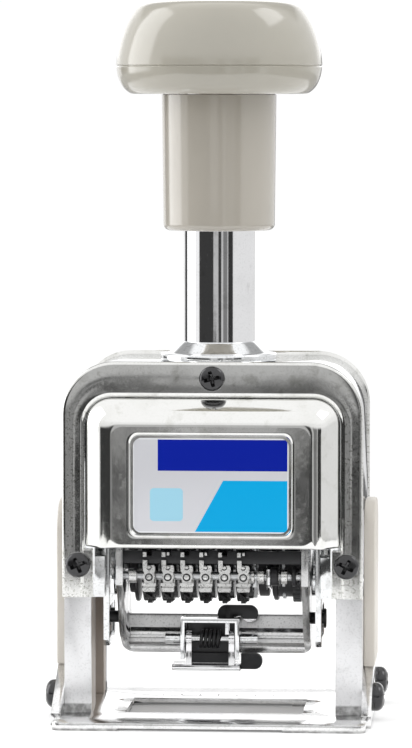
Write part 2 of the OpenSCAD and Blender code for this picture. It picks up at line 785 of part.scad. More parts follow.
module stirrup() {
    outline = [for (p = ARM) [p[0], p[1] + trunnion_z]];
    web_z = trunnion_z - web_drop;
    corner = 2.6;
    color(CHROME) on_axis() translate([head_x, 0, 0]) difference() {
        intersection() {
            union() {
                mirrored_x() plate_x(arm_in, arm_out, outline);
                box([-arm_in - tiny, 6.5, web_z], [arm_in + tiny, 13.5, web_z + 1.8]);
            }
            union() {
                box([-arm_out, -30, web_z + corner], [arm_out, 30, web_z + 40]);
                box([corner - arm_out, -30, web_z], [arm_out - corner, 30, web_z + 40]);
                mirrored_x() translate([arm_out - corner, 30, web_z + corner]) rotate([90, 0, 0])
                    cylinder(r = corner, h = 60);
            }
        }
        rod_x(-arm_out - 1, arm_out + 1, 0, trunnion_z, stud_r + run_gap);
        rod_x(-arm_out - 1, arm_out + 1, 0, axle_z, axle_d / 2 + run_gap);
        rod_x(-arm_out - 1, arm_out + 1, 0, crank_z, pin_r + run_gap);
        rod_x(-arm_out - 1, arm_out + 1, pawl_y, pawl_z, pawl_shaft_d / 2 + run_gap);
        rod_x(-arm_out - 1, arm_out + 1, tie_y, tie_z, tie_r + run_gap);
    }
}
module wheel_axle() {
    color(STEEL) on_axis() rod_x(head_x - arm_out, head_x + arm_out, 0, axle_z, axle_d / 2);
}

module trunnion_studs() {
    color(STEEL) on_axis() translate([head_x, 0, 0]) mirrored_x()
        rod_x(arm_in, bracket_out, 0, trunnion_z, stud_r);
}

module crank_pins() {
    color(BLACK) on_axis() translate([head_x, 0, 0]) mirrored_x() {
        rod_x(arm_in, cam_out + 0.1, 0, crank_z, pin_r);
        rod_x(cam_out + 0.1 - tiny, cam_out + 0.6, 0, crank_z, pin_r + 0.9);
    }
}

module pawl_comb() {
    color(BLACK) on_axis() difference() {
        box([head_x - arm_in, comb_y, comb_z], [head_x + arm_in, comb_y + comb_t, comb_z + 3]);
        for (i = [0 : wheel_count - 1]) translate([first_wheel_x + i * wheel_pitch, 0, 0])
            box([-0.9, comb_y - 1, comb_z + 1.8], [0.9, comb_y + comb_t + 1, comb_z + 4]);
    }
}

module pawl_shaft() {
    color(STEEL) on_axis() rod_x(head_x - arm_out, head_x + arm_out, pawl_y, pawl_z, pawl_shaft_d / 2);
}

module tie_rod() {
    color(STEEL) on_axis() rod_x(head_x - arm_out, head_x + arm_out, tie_y, tie_z, tie_r);
}

module crossbar() {
    low = trunnion_z - web_drop + 1.8;
    color(SATIN) on_axis()
        box([head_x - arm_in, bar_y, low], [head_x + arm_in, bar_y + 1.5, low + 7.4]);
}

module lever_bracket() {
    y0 = -2;
    low = lever_z - 1.9;
    prong_low = lever_z - 4.7;
    high = lever_z + 5;
    color(CHROME) on_axis() difference() {
        union() {
            box([fork_left, bar_y - 1.2, low], [fork_right, bar_y, low + 2.7]);
            for (x = [fork_left, fork_right - fork_t])
                box([x, y0, prong_low], [x + fork_t, bar_y, high]);
            box([fork_left, y0, high - fork_t], [fork_right, y0 + 3.4, high]);
        }
        rod_x(fork_left - 1, fork_right + 1, lever_y, lever_z, lever_r + run_gap);
    }
}

module lever_pin() {
    x0 = fork_left - 3.7;
    x1 = fork_right + 4.3;
    sleeve_r = 1.3;
    color(CHROME) on_axis() {
        rod_x(x0, x1, lever_y, lever_z, lever_r);
        rod_x(x0, fork_left - 0.1, lever_y, lever_z, sleeve_r);
        rod_x(fork_right + 0.1, x1, lever_y, lever_z, sleeve_r);
    }
}

module lever_spring() {
    length = 4.6;
    middle = (fork_left + fork_right) / 2;
    color(BLACK) on_axis() translate([middle - length / 2, lever_y, lever_z]) rotate([0, 90, 0])
        helix(1.9, 0.4, length, 5, 12, 6);
}

// Fixed parts on the axle, left and right of the wheels
module end_disc() {
    arm = head_x - arm_in;
    x1 = wheels_left - 0.85;
    x0 = x1 - 0.9;
    color(BLACK) on_axis() difference() {
        union() {
            rod_x(x0, x1, 0, axle_z, type_r - 0.3);
            rod_x(arm, x0 + tiny, 0, axle_z, 3.4);
        }
        rod_x(arm - 1, x1 + 1, 0, axle_z, axle_d / 2 + run_gap);
    }
}

module inner_plate() {
    x0 = wheels_right + 3.9;
    x1 = x0 + 0.6;
    front = pawl_y - 1.8;
    top = axle_z + 4.4;
    color(CHROME) on_axis() difference() {
        plate_x(x0, x1, [
            [front, pawl_z - 1.8], [front, pawl_z + 1.8], [front + 2.4, pawl_z + 2.4], [-6, top],
            [4, top], [7, axle_z - 1], [4, axle_z - 5], [-6, axle_z - 5.2]]);
        rod_x(x0 - 1, x1 + 1, 0, axle_z, axle_d / 2 + run_gap);
        rod_x(x0 - 1, x1 + 1, pawl_y, pawl_z, pawl_shaft_d / 2 + run_gap);
    }
}

// ---- number wheels ------------------------------------------------------------------------

// One wheel: ten type blocks on a drum, and a notched detent ring at its right side
module number_wheel(index) {
    x = first_wheel_x + (index - 1) * wheel_pitch;
    x0 = x - wheel_w / 2;
    x1 = x + wheel_w / 2;
    ring_w = 1;
    color(BLACK) on_axis() difference() {
        union() {
            rod_x(x0, x1 - ring_w, 0, axle_z, type_r - 0.7);
            rod_x(x1 - ring_w - tiny, x1, 0, axle_z, type_r - 1.1);
            for (k = [0 : 9]) translate([0, 0, axle_z]) rotate([k * 36, 0, 0])
                box([x0 + 0.1, -2, type_r - 1.6], [x1 - ring_w - 0.1, 2, type_r]);
        }
        rod_x(x0 - 1, x1 + 1, 0, axle_z, axle_d / 2 + run_gap);
        for (k = [0 : 9]) translate([0, 0, axle_z]) rotate([k * 36 + 18, 0, 0])
            rod_x(x1 - ring_w + 0.1, x1 + 1, 0, type_r - 0.9, 0.8);
    }
}

module ratchet_wheel() {
    x0 = wheels_right;
    thick = 1;
    tip_r = type_r - 1.1;
    root_r = tip_r - 2;
    color(STEEL) on_axis() difference() {
        plate_x(x0, x0 + thick, [for (k = [0 : 9], s = [0, 1])
            (s == 0 ? tip_r : root_r) * [cos(36 * k + s * 6), sin(36 * k + s * 6)] + [0, axle_z]]);
        rod_x(x0 - 1, x0 + thick + 1, 0, axle_z, axle_d / 2 + run_gap);
    }
}

// One detent pawl: a finger on the pawl shaft whose thin nose rides on the wheel's detent ring
module detent_pawl(index) {
    x = first_wheel_x + (index - 1) * wheel_pitch;
    x1 = x + wheel_w / 2 - 0.15;
    color(SATIN) on_axis() difference() {
        union() {
            rod_x(x1 - pawl_w, x1, pawl_y, pawl_z, 1.8);
            box([x1 - pawl_w, -13.3, pawl_z - 3.6], [x1, -12.1, pawl_z + 2.6]);
            box([x1 - pawl_w, -13.9, pawl_z - 1.9], [x1, -13.2, pawl_z - 1.1]);
            box([x1 - pawl_w, -13.9, pawl_z - 3.6], [x1, -13.2, pawl_z - 2.7]);
            plate_x(x1 - 0.7, x1, [
                [-11.4, pawl_z + 1.2], [-12.4, pawl_z - 1.5], [-8.1, pawl_z - 2.8],
                [-7.5, pawl_z - 2.1], [-9.9, pawl_z + 0.2]]);
        }
        rod_x(x1 - pawl_w - 1, x1 + 1, pawl_y, pawl_z, pawl_shaft_d / 2 + run_gap);
    }
}

// The feed arm turns one step on the axle and carries its roller at the back
module feed_arm() {
    x0 = wheels_right + 1.4;
    x1 = x0 + 1.2;
    reach = 9;
    roller_r = 2;
    color(CHROME) on_axis() difference() {
        union() {
            rod_x(x0, x1, 0, axle_z, 6);
            plate_x(x0, x1, [[-2, axle_z + 3], [2, axle_z - 3],
                             [reach, axle_z - roller_r], [reach, axle_z + roller_r]]);
            rod_x(x0, x1, reach, axle_z, roller_r);
        }
        rod_x(x0 - 1, x1 + 1, 0, axle_z, axle_d / 2 + run_gap);
    }
}

// The repeat selector: a black dial, a notched cam and a plain disc on one hub
module selector_dial() {
    dial_x0 = dial_x1 - 1.9;
    cam_x0 = dial_x1 - 4.3;
    cam_x1 = cam_x0 + 0.8;
    disc_x0 = dial_x1 - 6.4;
    disc_x1 = disc_x0 + 1.1;
    cam_r = dial_d / 2 - 0.7;
    color(BLACK) on_axis() difference() {
        union() {
            rod_x(dial_x0, dial_x1, 0, axle_z, dial_d / 2);
            rod_x(disc_x0, dial_x1, 0, axle_z, 6);
            rod_x(cam_x0, cam_x1, 0, axle_z, cam_r);
            rod_x(disc_x0, disc_x1, 0, axle_z, cam_r - 1);
        }
        rod_x(disc_x0 - 1, dial_x1 + 1, 0, axle_z, axle_d / 2 + run_gap);
        for (k = [0 : 23]) translate([0, 0, axle_z]) rotate([k * 15, 0, 0])
            rod_x(dial_x0 - 0.1, dial_x1 + 0.1, 0, dial_d / 2 + 0.2, 0.5);
        for (k = [0 : 11]) translate([0, 0, axle_z]) rotate([k * 30, 0, 0])
            rod_x(cam_x0 - 0.1, cam_x1 + 0.1, 0, cam_r + 0.2, 0.9);
    }
}

// The release lever: a foot plate on two ears, with a wall and a tail that stand up from it, and a
// finger that rises behind them to a flat lobe
module release_lever() {
    ear_w = 1.3;
    ear_gap = 0.2;
    ear_left = fork_left + fork_t + 0.3;
    ear_right = fork_right - fork_t - ear_gap - ear_w;
    foot_t = 1.2;
    wall_y = 1.6;
    wall_top = foot_z + 3.6;
    foot_left = fork_left - 2;
    foot_right = fork_right + 5.3;
    end_r = 1.7;
    lobe_z = lever_z + 5.1;
    lobe_top = lever_z + 7.7;
    color(CHROME) on_axis() difference() {
        union() {
            for (x = [ear_left, ear_right]) {
                rod_x(x, x + ear_w, lever_y, lever_z, 1.9);
                plate_x(x, x + ear_w, [[-1.2, lever_z], [2.2, lever_z], [3.2, foot_z], [-1.6, foot_z]]);
            }
            box([foot_left, -2.2, foot_z], [fork_right + 0.3, 5.2, foot_z + foot_t]);
            box([foot_left + 0.8, -3, foot_z], [fork_right + 0.3, -2.1, foot_z + foot_t]);
            box([ear_left, wall_y, foot_z], [ear_right + ear_w, wall_y + foot_t, wall_top]);
            box([fork_right + 0.3 - tiny, wall_y - 1.2, foot_z], [foot_right - end_r, wall_y + foot_t, wall_top]);
            for (z = [foot_z + end_r, wall_top - end_r])
                translate([foot_right - end_r, wall_y + foot_t, z]) rotate([90, 0, 0])
                    cylinder(r = end_r, h = foot_t + 1.2);
            plate_x(ear_right - 1, ear_right + tiny, [
                [1, lever_z + 0.9], [2.2, lever_z], [3.6, lobe_z - 0.7], [4, lobe_top], [3, lobe_top],
                [2.6, lobe_z - 0.6]]);
            translate([4.3, 0, 0]) arch_plate(3, 4, 4.8, lobe_z, lobe_top, 2);
        }
        rod_x(ear_left - 1, ear_right + ear_w + 1, lever_y, lever_z, lever_r + run_gap);
    }
}

base_plate();
left_leg();
right_leg();
left_slide_guide();
right_slide_guide();
left_side_guard();
right_side_guard();
leg_screws();
bridge();
bridge_rivets();
guide_rod();
return_spring();
left_cam_arm();
right_cam_arm();
pad_rails();
ink_tray();
ink_pad();
housing_body();
front_bezel();
front_panel();
label_plate();
rear_bezel();
cover_screws();
collar();
handle_tube();
spring_plug();
grip_sleeve();
knob_body();
knob_cap();
left_trunnion_bracket();
right_trunnion_bracket();
stirrup();
wheel_axle();
trunnion_studs();
crank_pins();
pawl_comb();
pawl_shaft();
tie_rod();
crossbar();
lever_bracket();
lever_pin();
lever_spring();
end_disc();
inner_plate();
number_wheel(1);  // number_wheel_1
number_wheel(2);  // number_wheel_2
number_wheel(3);  // number_wheel_3
number_wheel(4);  // number_wheel_4
number_wheel(5);  // number_wheel_5
number_wheel(6);  // number_wheel_6
ratchet_wheel();
detent_pawl(1);  // detent_pawl_1
detent_pawl(2);  // detent_pawl_2
detent_pawl(3);  // detent_pawl_3
detent_pawl(4);  // detent_pawl_4
detent_pawl(5);  // detent_pawl_5
detent_pawl(6);  // detent_pawl_6
feed_arm();
selector_dial();
release_lever();
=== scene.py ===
"""Finishes, pressed and turned pieces, floor, lights and camera of a numbering machine."""

import logging
import math
from dataclasses import dataclass, field
from enum import Enum
from typing import Iterable, Sequence, Union

import bmesh
import bpy
from mathutils import Matrix, Vector


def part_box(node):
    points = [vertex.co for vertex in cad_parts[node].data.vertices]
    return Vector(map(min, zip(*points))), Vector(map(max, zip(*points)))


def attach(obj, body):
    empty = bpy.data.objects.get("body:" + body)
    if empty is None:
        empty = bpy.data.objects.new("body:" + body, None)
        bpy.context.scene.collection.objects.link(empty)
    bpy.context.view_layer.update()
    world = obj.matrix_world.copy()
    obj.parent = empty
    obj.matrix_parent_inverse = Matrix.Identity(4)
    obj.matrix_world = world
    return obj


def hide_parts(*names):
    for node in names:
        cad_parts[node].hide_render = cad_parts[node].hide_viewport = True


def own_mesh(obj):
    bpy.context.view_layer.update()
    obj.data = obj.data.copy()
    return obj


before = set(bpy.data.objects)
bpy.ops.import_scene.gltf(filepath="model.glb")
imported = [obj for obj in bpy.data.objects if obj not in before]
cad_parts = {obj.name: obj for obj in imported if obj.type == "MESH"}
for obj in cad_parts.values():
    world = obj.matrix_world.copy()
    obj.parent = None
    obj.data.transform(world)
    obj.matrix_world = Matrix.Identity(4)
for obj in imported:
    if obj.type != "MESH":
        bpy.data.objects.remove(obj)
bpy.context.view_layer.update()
LOG = logging.getLogger("numbering_machine")
MM = 0.001
AXIS_Y = (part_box("handle_tube")[0].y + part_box("handle_tube")[1].y) / 2

Colour = tuple[float, float, float]
Pair = tuple[float, float]
Value = Union["Wire", bpy.types.NodeSocket, float, tuple]


def place(x: float, y: float, z: float) -> Vector:
    """A point in metres from millimetres measured from the handle's axis and the ground."""
    return Vector((x * MM, y * MM + AXIS_Y, z * MM))


def add_object(name: str, data: bpy.types.ID) -> bpy.types.Object:
    """Add an object to the scene.

    Args:
        name: Its name.
        data: Its mesh, text or camera.

    Returns:
        The object.
    """
    made = bpy.data.objects.new(name, data)
    bpy.context.collection.objects.link(made)
    return made


def settle(carrier: bpy.types.Object) -> bpy.types.Mesh:
    """Turn an object and its modifiers into a plain mesh.

    Args:
        carrier: The object, which is removed.

    Returns:
        The mesh.
    """
    ready = carrier.evaluated_get(bpy.context.evaluated_depsgraph_get())
    mesh = bpy.data.meshes.new_from_object(ready)
    bpy.data.objects.remove(carrier)
    return mesh


# ---- node trees ---------------------------------------------------------------------------


class Wire:
    """One value in a node tree; arithmetic on it adds Math nodes."""

    def __init__(self, graph: "Graph", socket: bpy.types.NodeSocket) -> None:
        """Keep the tree and the socket that the value comes from."""
        self.graph = graph
        self.socket = socket

    def math(self, operation: str, *values: Value) -> "Wire":
        """Add one Math node.

        Args:
            operation: The Math node's operation.
            values: What goes into its sockets, in order.

        Returns:
            The node's result.
        """
        node = self.graph.node("ShaderNodeMath", {"operation": operation}, dict(enumerate(values)))
        return Wire(self.graph, node.outputs[0])

    def __add__(self, other: Value) -> "Wire":
        """Sum of two values."""
        return self.math("ADD", self, other)

    def __sub__(self, other: Value) -> "Wire":
        """This value less another."""
        return self.math("SUBTRACT", self, other)

    def __rsub__(self, other: Value) -> "Wire":
        """Another value less this one."""
        return self.math("SUBTRACT", other, self)

    def __mul__(self, other: Value) -> "Wire":
        """Product of two values."""
        return self.math("MULTIPLY", self, other)

    def __abs__(self) -> "Wire":
        """Size of the value without its sign."""
        return self.math("ABSOLUTE", self)

    def __gt__(self, other: Value) -> "Wire":
        """One where this value is the larger, and zero elsewhere."""
        return self.math("GREATER_THAN", self, other)

    def __lt__(self, other: Value) -> "Wire":
        """One where this value is the smaller, and zero elsewhere."""
        return self.math("LESS_THAN", self, other)

    __radd__ = __add__
    __rmul__ = __mul__

    def between(self, low: float, high: float) -> "Wire":
        """Rise smoothly from zero at low to one at high."""
        node = self.graph.node(
            "ShaderNodeMapRange",
            {"interpolation_type": "SMOOTHSTEP"},
            {"Value": self, "From Min": low, "From Max": high},
        )
        return Wire(self.graph, node.outputs[0])

    def within(self, low: float, high: float, soft: float) -> "Wire":
        """One between two values and zero outside them, with edges softened by so much."""
        return self.between(low - soft, low + soft) * (1 - self.between(high - soft, high + soft))

    def under(self, mask: "Wire", value: Value) -> "Wire":
        """This value where the mask is zero, and another value where it is one."""
        return self * (1 - mask) + mask * value


class Graph:
    """A node tree and the one method that adds a node to it."""

    def __init__(self, tree: bpy.types.NodeTree) -> None:
        """Work on an existing tree."""
        self.tree = tree

    def connect(self, value: Value, socket: bpy.types.NodeSocket) -> None:
        """Link a value to a socket, or set the socket to it."""
        if isinstance(value, Wire):
            value = value.socket
        if isinstance(value, bpy.types.NodeSocket):
            self.tree.links.new(value, socket)
        else:
            socket.default_value = value

    def node(self, kind: str, settings: dict | None = None, inputs: dict | None = None) -> bpy.types.Node:
        """Add a node.

        Args:
            kind: The node's type.
            settings: Its properties, set first.
            inputs: Values or links by socket name or number.

        Returns:
            The new node.
        """
        node = self.tree.nodes.new(kind)
        for key, value in (settings or {}).items():
            setattr(node, key, value)
        for key, value in (inputs or {}).items():
            self.connect(value, node.inputs[key])
        return node


class Paint(Graph):
    """A material built around its principled shader."""

    def __init__(self, name: str) -> None:
        """Start a material of that name."""
        self.material = bpy.data.materials.new(name)
        self.material.use_nodes = True
        super().__init__(self.material.node_tree)
        self.surface = self.tree.nodes["Principled BSDF"]
        self.where = self.node("ShaderNodeTexCoord").outputs["Object"]

    def set(self, **sockets: Value) -> None:
        """Set or link the shader's sockets, named with underscores for spaces."""
        for name, value in sockets.items():
            self.connect(value, self.surface.inputs[name.replace("_", " ")])

    def axis(self, letter: str) -> Wire:
        """One coordinate of the surface, in metres."""
        node = self.node("ShaderNodeSeparateXYZ", None, {0: self.where})
        return Wire(self, node.outputs["XYZ".index(letter)])

    def noise(self, scale: float, detail: float = 2.0, stretch: tuple = (1.0, 1.0, 1.0)) -> Wire:
        """Cloudy noise.

        Args:
            scale: Clouds per metre.
            detail: Octaves of finer noise.
            stretch: Scale along each axis.

        Returns:
            Values round one half.
        """
        mapped = self.node("ShaderNodeMapping", None, {"Vector": self.where, "Scale": stretch})
        node = self.node(
            "ShaderNodeTexNoise", None, {"Vector": mapped.outputs[0], "Scale": scale, "Detail": detail}
        )
        return Wire(self, node.outputs[0])

    def blend(self, amount: Value, first: Union[Colour, bpy.types.NodeSocket],
              second: Colour) -> bpy.types.NodeSocket:
        """Mix two colours.

        Args:
            amount: Zero gives the first colour and one the second.
            first: A colour, or the result of an earlier mix.
            second: A colour.

        Returns:
            The colour socket.
        """
        opaque = first if isinstance(first, bpy.types.NodeSocket) else (*first, 1.0)
        node = self.node(
            "ShaderNodeMix", {"data_type": "RGBA"}, {0: amount, 6: opaque, 7: (*second, 1.0)}
        )
        return node.outputs[2]

    def bump(self, height: Wire, depth_mm: float, strength: float = 1.0,
             after: Value | None = None) -> bpy.types.NodeSocket:
        """Turn a height into a normal.

        Args:
            height: Heights from zero to one.
            depth_mm: Height of one unit.
            strength: How much of the bump is used.
            after: A normal to add to.

        Returns:
            The normal socket.
        """
        inputs = {"Height": height, "Distance": depth_mm * MM, "Strength": strength}
        if after is not None:
            inputs["Normal"] = after
        return self.node("ShaderNodeBump", None, inputs).outputs[0]


# ---- finishes -----------------------------------------------------------------------------


@dataclass(frozen=True)
class Plated:
    """Polished or satin metal with smears, specks, fine scratches and a slightly wavy sheet; it can paint
    shade near its foot.
    """

    name: str
    colour: Colour
    dull: Colour
    roughness: float
    smear: float = 0.08
    ripple_mm: float = 0.3
    ripple_scale: float = 70.0
    specks: float = 0.3
    grain_mm: float = 0.002
    grain_stretch: tuple = (1.0, 1.0, 1.0)
    # Height of a band at the foot painted darker, as shade and dark reflection.
    grime_below_mm: float = 0.0
    clean_above_mm: float = 0.0

    def material(self) -> bpy.types.Material:
        """Build the material."""
        paint = Paint(self.name)
        cloud = paint.noise(110, 4)
        fine = paint.noise(900, 3, self.grain_stretch)
        marks = paint.noise(260, 5).between(0.56, 0.72)
        pits = paint.noise(2400, 4).between(0.54, 0.66) * self.specks
        if self.clean_above_mm:
            low = self.clean_above_mm * MM
            pits = pits * (1 - paint.axis("Z").between(low, low + 4 * MM) * 0.8)
        dull = marks * 0.3 + cloud.between(0.45, 0.8) * 0.25 + pits
        colour = paint.blend(dull, self.colour, self.dull)
        # Painted shade: the lowest part is mixed, mottled, towards near-black for the shade and dark
        # reflection at the foot.
        if self.grime_below_mm:
            low = self.grime_below_mm * MM
            painted_shade = 1 - paint.axis("Z").between(low, low + 0.6 * MM)
            painted_shade = painted_shade * (paint.noise(500, 4).between(0.3, 0.6) * 0.4 + 0.4)
            colour = paint.blend(painted_shade, colour, (0.10, 0.10, 0.095))
        paint.set(
            Base_Color=colour,
            Metallic=1.0,
            Roughness=cloud.between(0.35, 0.75) * self.smear + fine.between(0.5, 0.8) * 0.05 + self.roughness,
        )
        wavy = paint.bump(paint.noise(self.ripple_scale, 1), self.ripple_mm)
        paint.set(Normal=paint.bump(fine, self.grain_mm, 0.6, wavy))
        return paint.material


@dataclass(frozen=True)
class Moulded:
    """Moulded plastic with a faint mottle and a fine surface texture."""

    name: str
    colour: Colour
    shade: Colour
    roughness: float
    coat: float = 0.0
    texture_mm: float = 0.004

    def material(self) -> bpy.types.Material:
        """Build the material."""
        paint = Paint(self.name)
        mottle = paint.noise(60, 3)
        texture = paint.noise(1600, 2)
        paint.set(
            Base_Color=paint.blend(mottle.between(0.3, 0.8) * 0.5, self.colour, self.shade),
            Roughness=mottle.between(0.4, 0.8) * 0.06 + self.roughness,
            Coat_Weight=self.coat,
            Coat_Roughness=0.06,
            Subsurface_Weight=0.05,
            Subsurface_Radius=(0.002, 0.002, 0.002),
            Normal=paint.bump(texture, self.texture_mm, 0.5),
        )
        return paint.material


@dataclass(frozen=True)
class Blackened:
    """Blackened steel whose raised spots are rubbed bright; on the type its near-black is painted shade and
    reflection.
    """

    name: str
    colour: Colour
    rubbed: Colour
    roughness: float
    rubbed_share: float
    grain_mm: float = 0.01
    metal: float = 0.3
    coat: float = 0.0
    grain_scale: float = 1300.0

    def material(self) -> bpy.types.Material:
        """Build the material."""
        paint = Paint(self.name)
        grain = paint.noise(self.grain_scale, 4)
        patches = paint.noise(420, 3)
        edge = 0.72 - self.rubbed_share * 0.3
        rub = (patches * 0.5 + grain * 0.5).between(edge, edge + 0.05)
        paint.set(
            Base_Color=paint.blend(rub, self.colour, self.rubbed),
            Metallic=rub * (1 - self.metal) + self.metal,
            Roughness=self.roughness - rub * self.roughness * 0.4,
            Coat_Weight=self.coat,
            Coat_Roughness=0.12,
            Normal=paint.bump(grain, self.grain_mm, 0.7),
        )
        return paint.material


@dataclass(frozen=True)
class LeverTones:
    """Chromed pressing with a blackened thumb piece, wall and tail."""

    name: str
    chrome: Colour = (0.82, 0.82, 0.83)
    black: Colour = (0.02, 0.02, 0.022)
    lobe_above_mm: float = 11.6
    wall_above_mm: float = 1.25
    wall_below_mm: float = 3.7
    wall_depth_mm: Pair = (3.3, 5.9)
    tail_mm: float = 5.1

    def material(self) -> bpy.types.Material:
        """Build the material."""
        paint = Paint(self.name)
        low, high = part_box("release_lever")
        depth = paint.axis("Y") - low.y
        height = paint.axis("Z") - low.z
        across = paint.axis("X") - high.x
        lobe = height > self.lobe_above_mm * MM
        near, far = self.wall_depth_mm
        below = height < self.wall_below_mm * MM
        wall = (height > self.wall_above_mm * MM) * below * (depth > near * MM) * (depth < far * MM)
        tail = (across > -self.tail_mm * MM) * below
        dark = lobe.math("MAXIMUM", lobe, wall.math("MAXIMUM", wall, tail))
        grain = paint.noise(1500, 4)
        paint.set(
            Base_Color=paint.blend(dark, self.chrome, self.black),
            Metallic=1 - dark * 0.6,
            Roughness=dark * 0.2 + grain * 0.1 + 0.08,
            Normal=paint.bump(grain, 0.006, 0.6, paint.bump(paint.noise(160, 1), 0.12)),
        )
        return paint.material


@dataclass(frozen=True)
class PrintedPlate:
    """Silver plate printed with a blue bar, a cyan slanted block and a pale rounded square."""

    name: str
    ground: Colour = (0.66, 0.665, 0.70)
    border: Colour = (0.84, 0.85, 0.87)
    bar: Colour = (0.0, 0.012, 0.33)
    block: Colour = (0.0, 0.40, 0.78)
    square: Colour = (0.37, 0.68, 0.83)
    margin_mm: float = 0.28
    bar_from_mm: Pair = (-12.2, 3.4)
    block_from_mm: Pair = (2.2, 1.2)
    block_slant: float = 0.55
    square_at_mm: Pair = (-10.2, -4.4)
    square_half_mm: float = 2.9
    square_round_mm: float = 0.9

    def material(self) -> bpy.types.Material:
        """Build the material."""
        paint = Paint(self.name)
        low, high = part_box("label_plate")
        mid = (low + high) / 2
        across = paint.axis("X") - mid.x
        up = paint.axis("Z") - mid.z
        half_w = (high.x - low.x) / 2 - self.margin_mm * MM
        half_h = (high.z - low.z) / 2 - self.margin_mm * MM
        inside = (abs(across) < half_w) * (abs(up) < half_h)
        left, low_edge = self.bar_from_mm
        bar = (up > low_edge * MM) * (across > left * MM) * inside
        left, top_edge = self.block_from_mm
        block = (across - up * self.block_slant > left * MM) * (up < top_edge * MM) * inside
        past = []
        for way, middle in zip((across, up), self.square_at_mm):
            reach = abs(way - middle * MM) - self.square_half_mm * MM
            past.append(reach.math("MAXIMUM", reach, 0.0))
        round_off = (self.square_round_mm * MM) ** 2
        square = ((past[0] * past[0] + past[1] * past[1]) < round_off) * inside
        colour = paint.blend(inside, self.border, self.ground)
        for mask, ink in ((bar, self.bar), (block, self.block), (square, self.square)):
            colour = paint.blend(mask, colour, ink)
        inked = bar.math("MAXIMUM", bar, block.math("MAXIMUM", block, square))
        speck = paint.noise(3000, 2)
        paint.set(
            Base_Color=colour,
            Metallic=0.25 - inked * 0.25,
            Roughness=speck * 0.12 + 0.34,
            Specular_IOR_Level=0.12,
            Normal=paint.bump(inked * 0.6 + speck * 0.4, 0.012, 0.5),
        )
        return paint.material


@dataclass(frozen=True)
class Felt:
    """Ink-soaked felt with short fibres."""

    name: str
    colour: Colour
    fibre: Colour

    def material(self) -> bpy.types.Material:
        """Build the material."""
        paint = Paint(self.name)
        fibres = paint.noise(2600, 5, (1.0, 1.0, 0.3))
        paint.set(
            Base_Color=paint.blend(fibres.between(0.4, 0.7), self.colour, self.fibre),
            Roughness=0.75 - fibres * 0.25,
            Sheen_Weight=0.2,
            Normal=paint.bump(fibres, 0.12),
        )
        return paint.material


class Slot(Enum):
    """The record's material slots."""

    BRIGHT = "bright_chrome"
    SATIN = "satin_chrome"
    STEEL = "steel"
    BEIGE = "beige_plastic"
    KNOB = "knob_plastic"
    SCREW = "black_screw"
    BLACK = "black_steel"
    TYPE = "type_steel"


def grey(value: float, warmth: float = 0.0) -> Colour:
    """A grey with so much less blue; a negative warmth makes it cooler."""
    return (value, value, value - warmth)


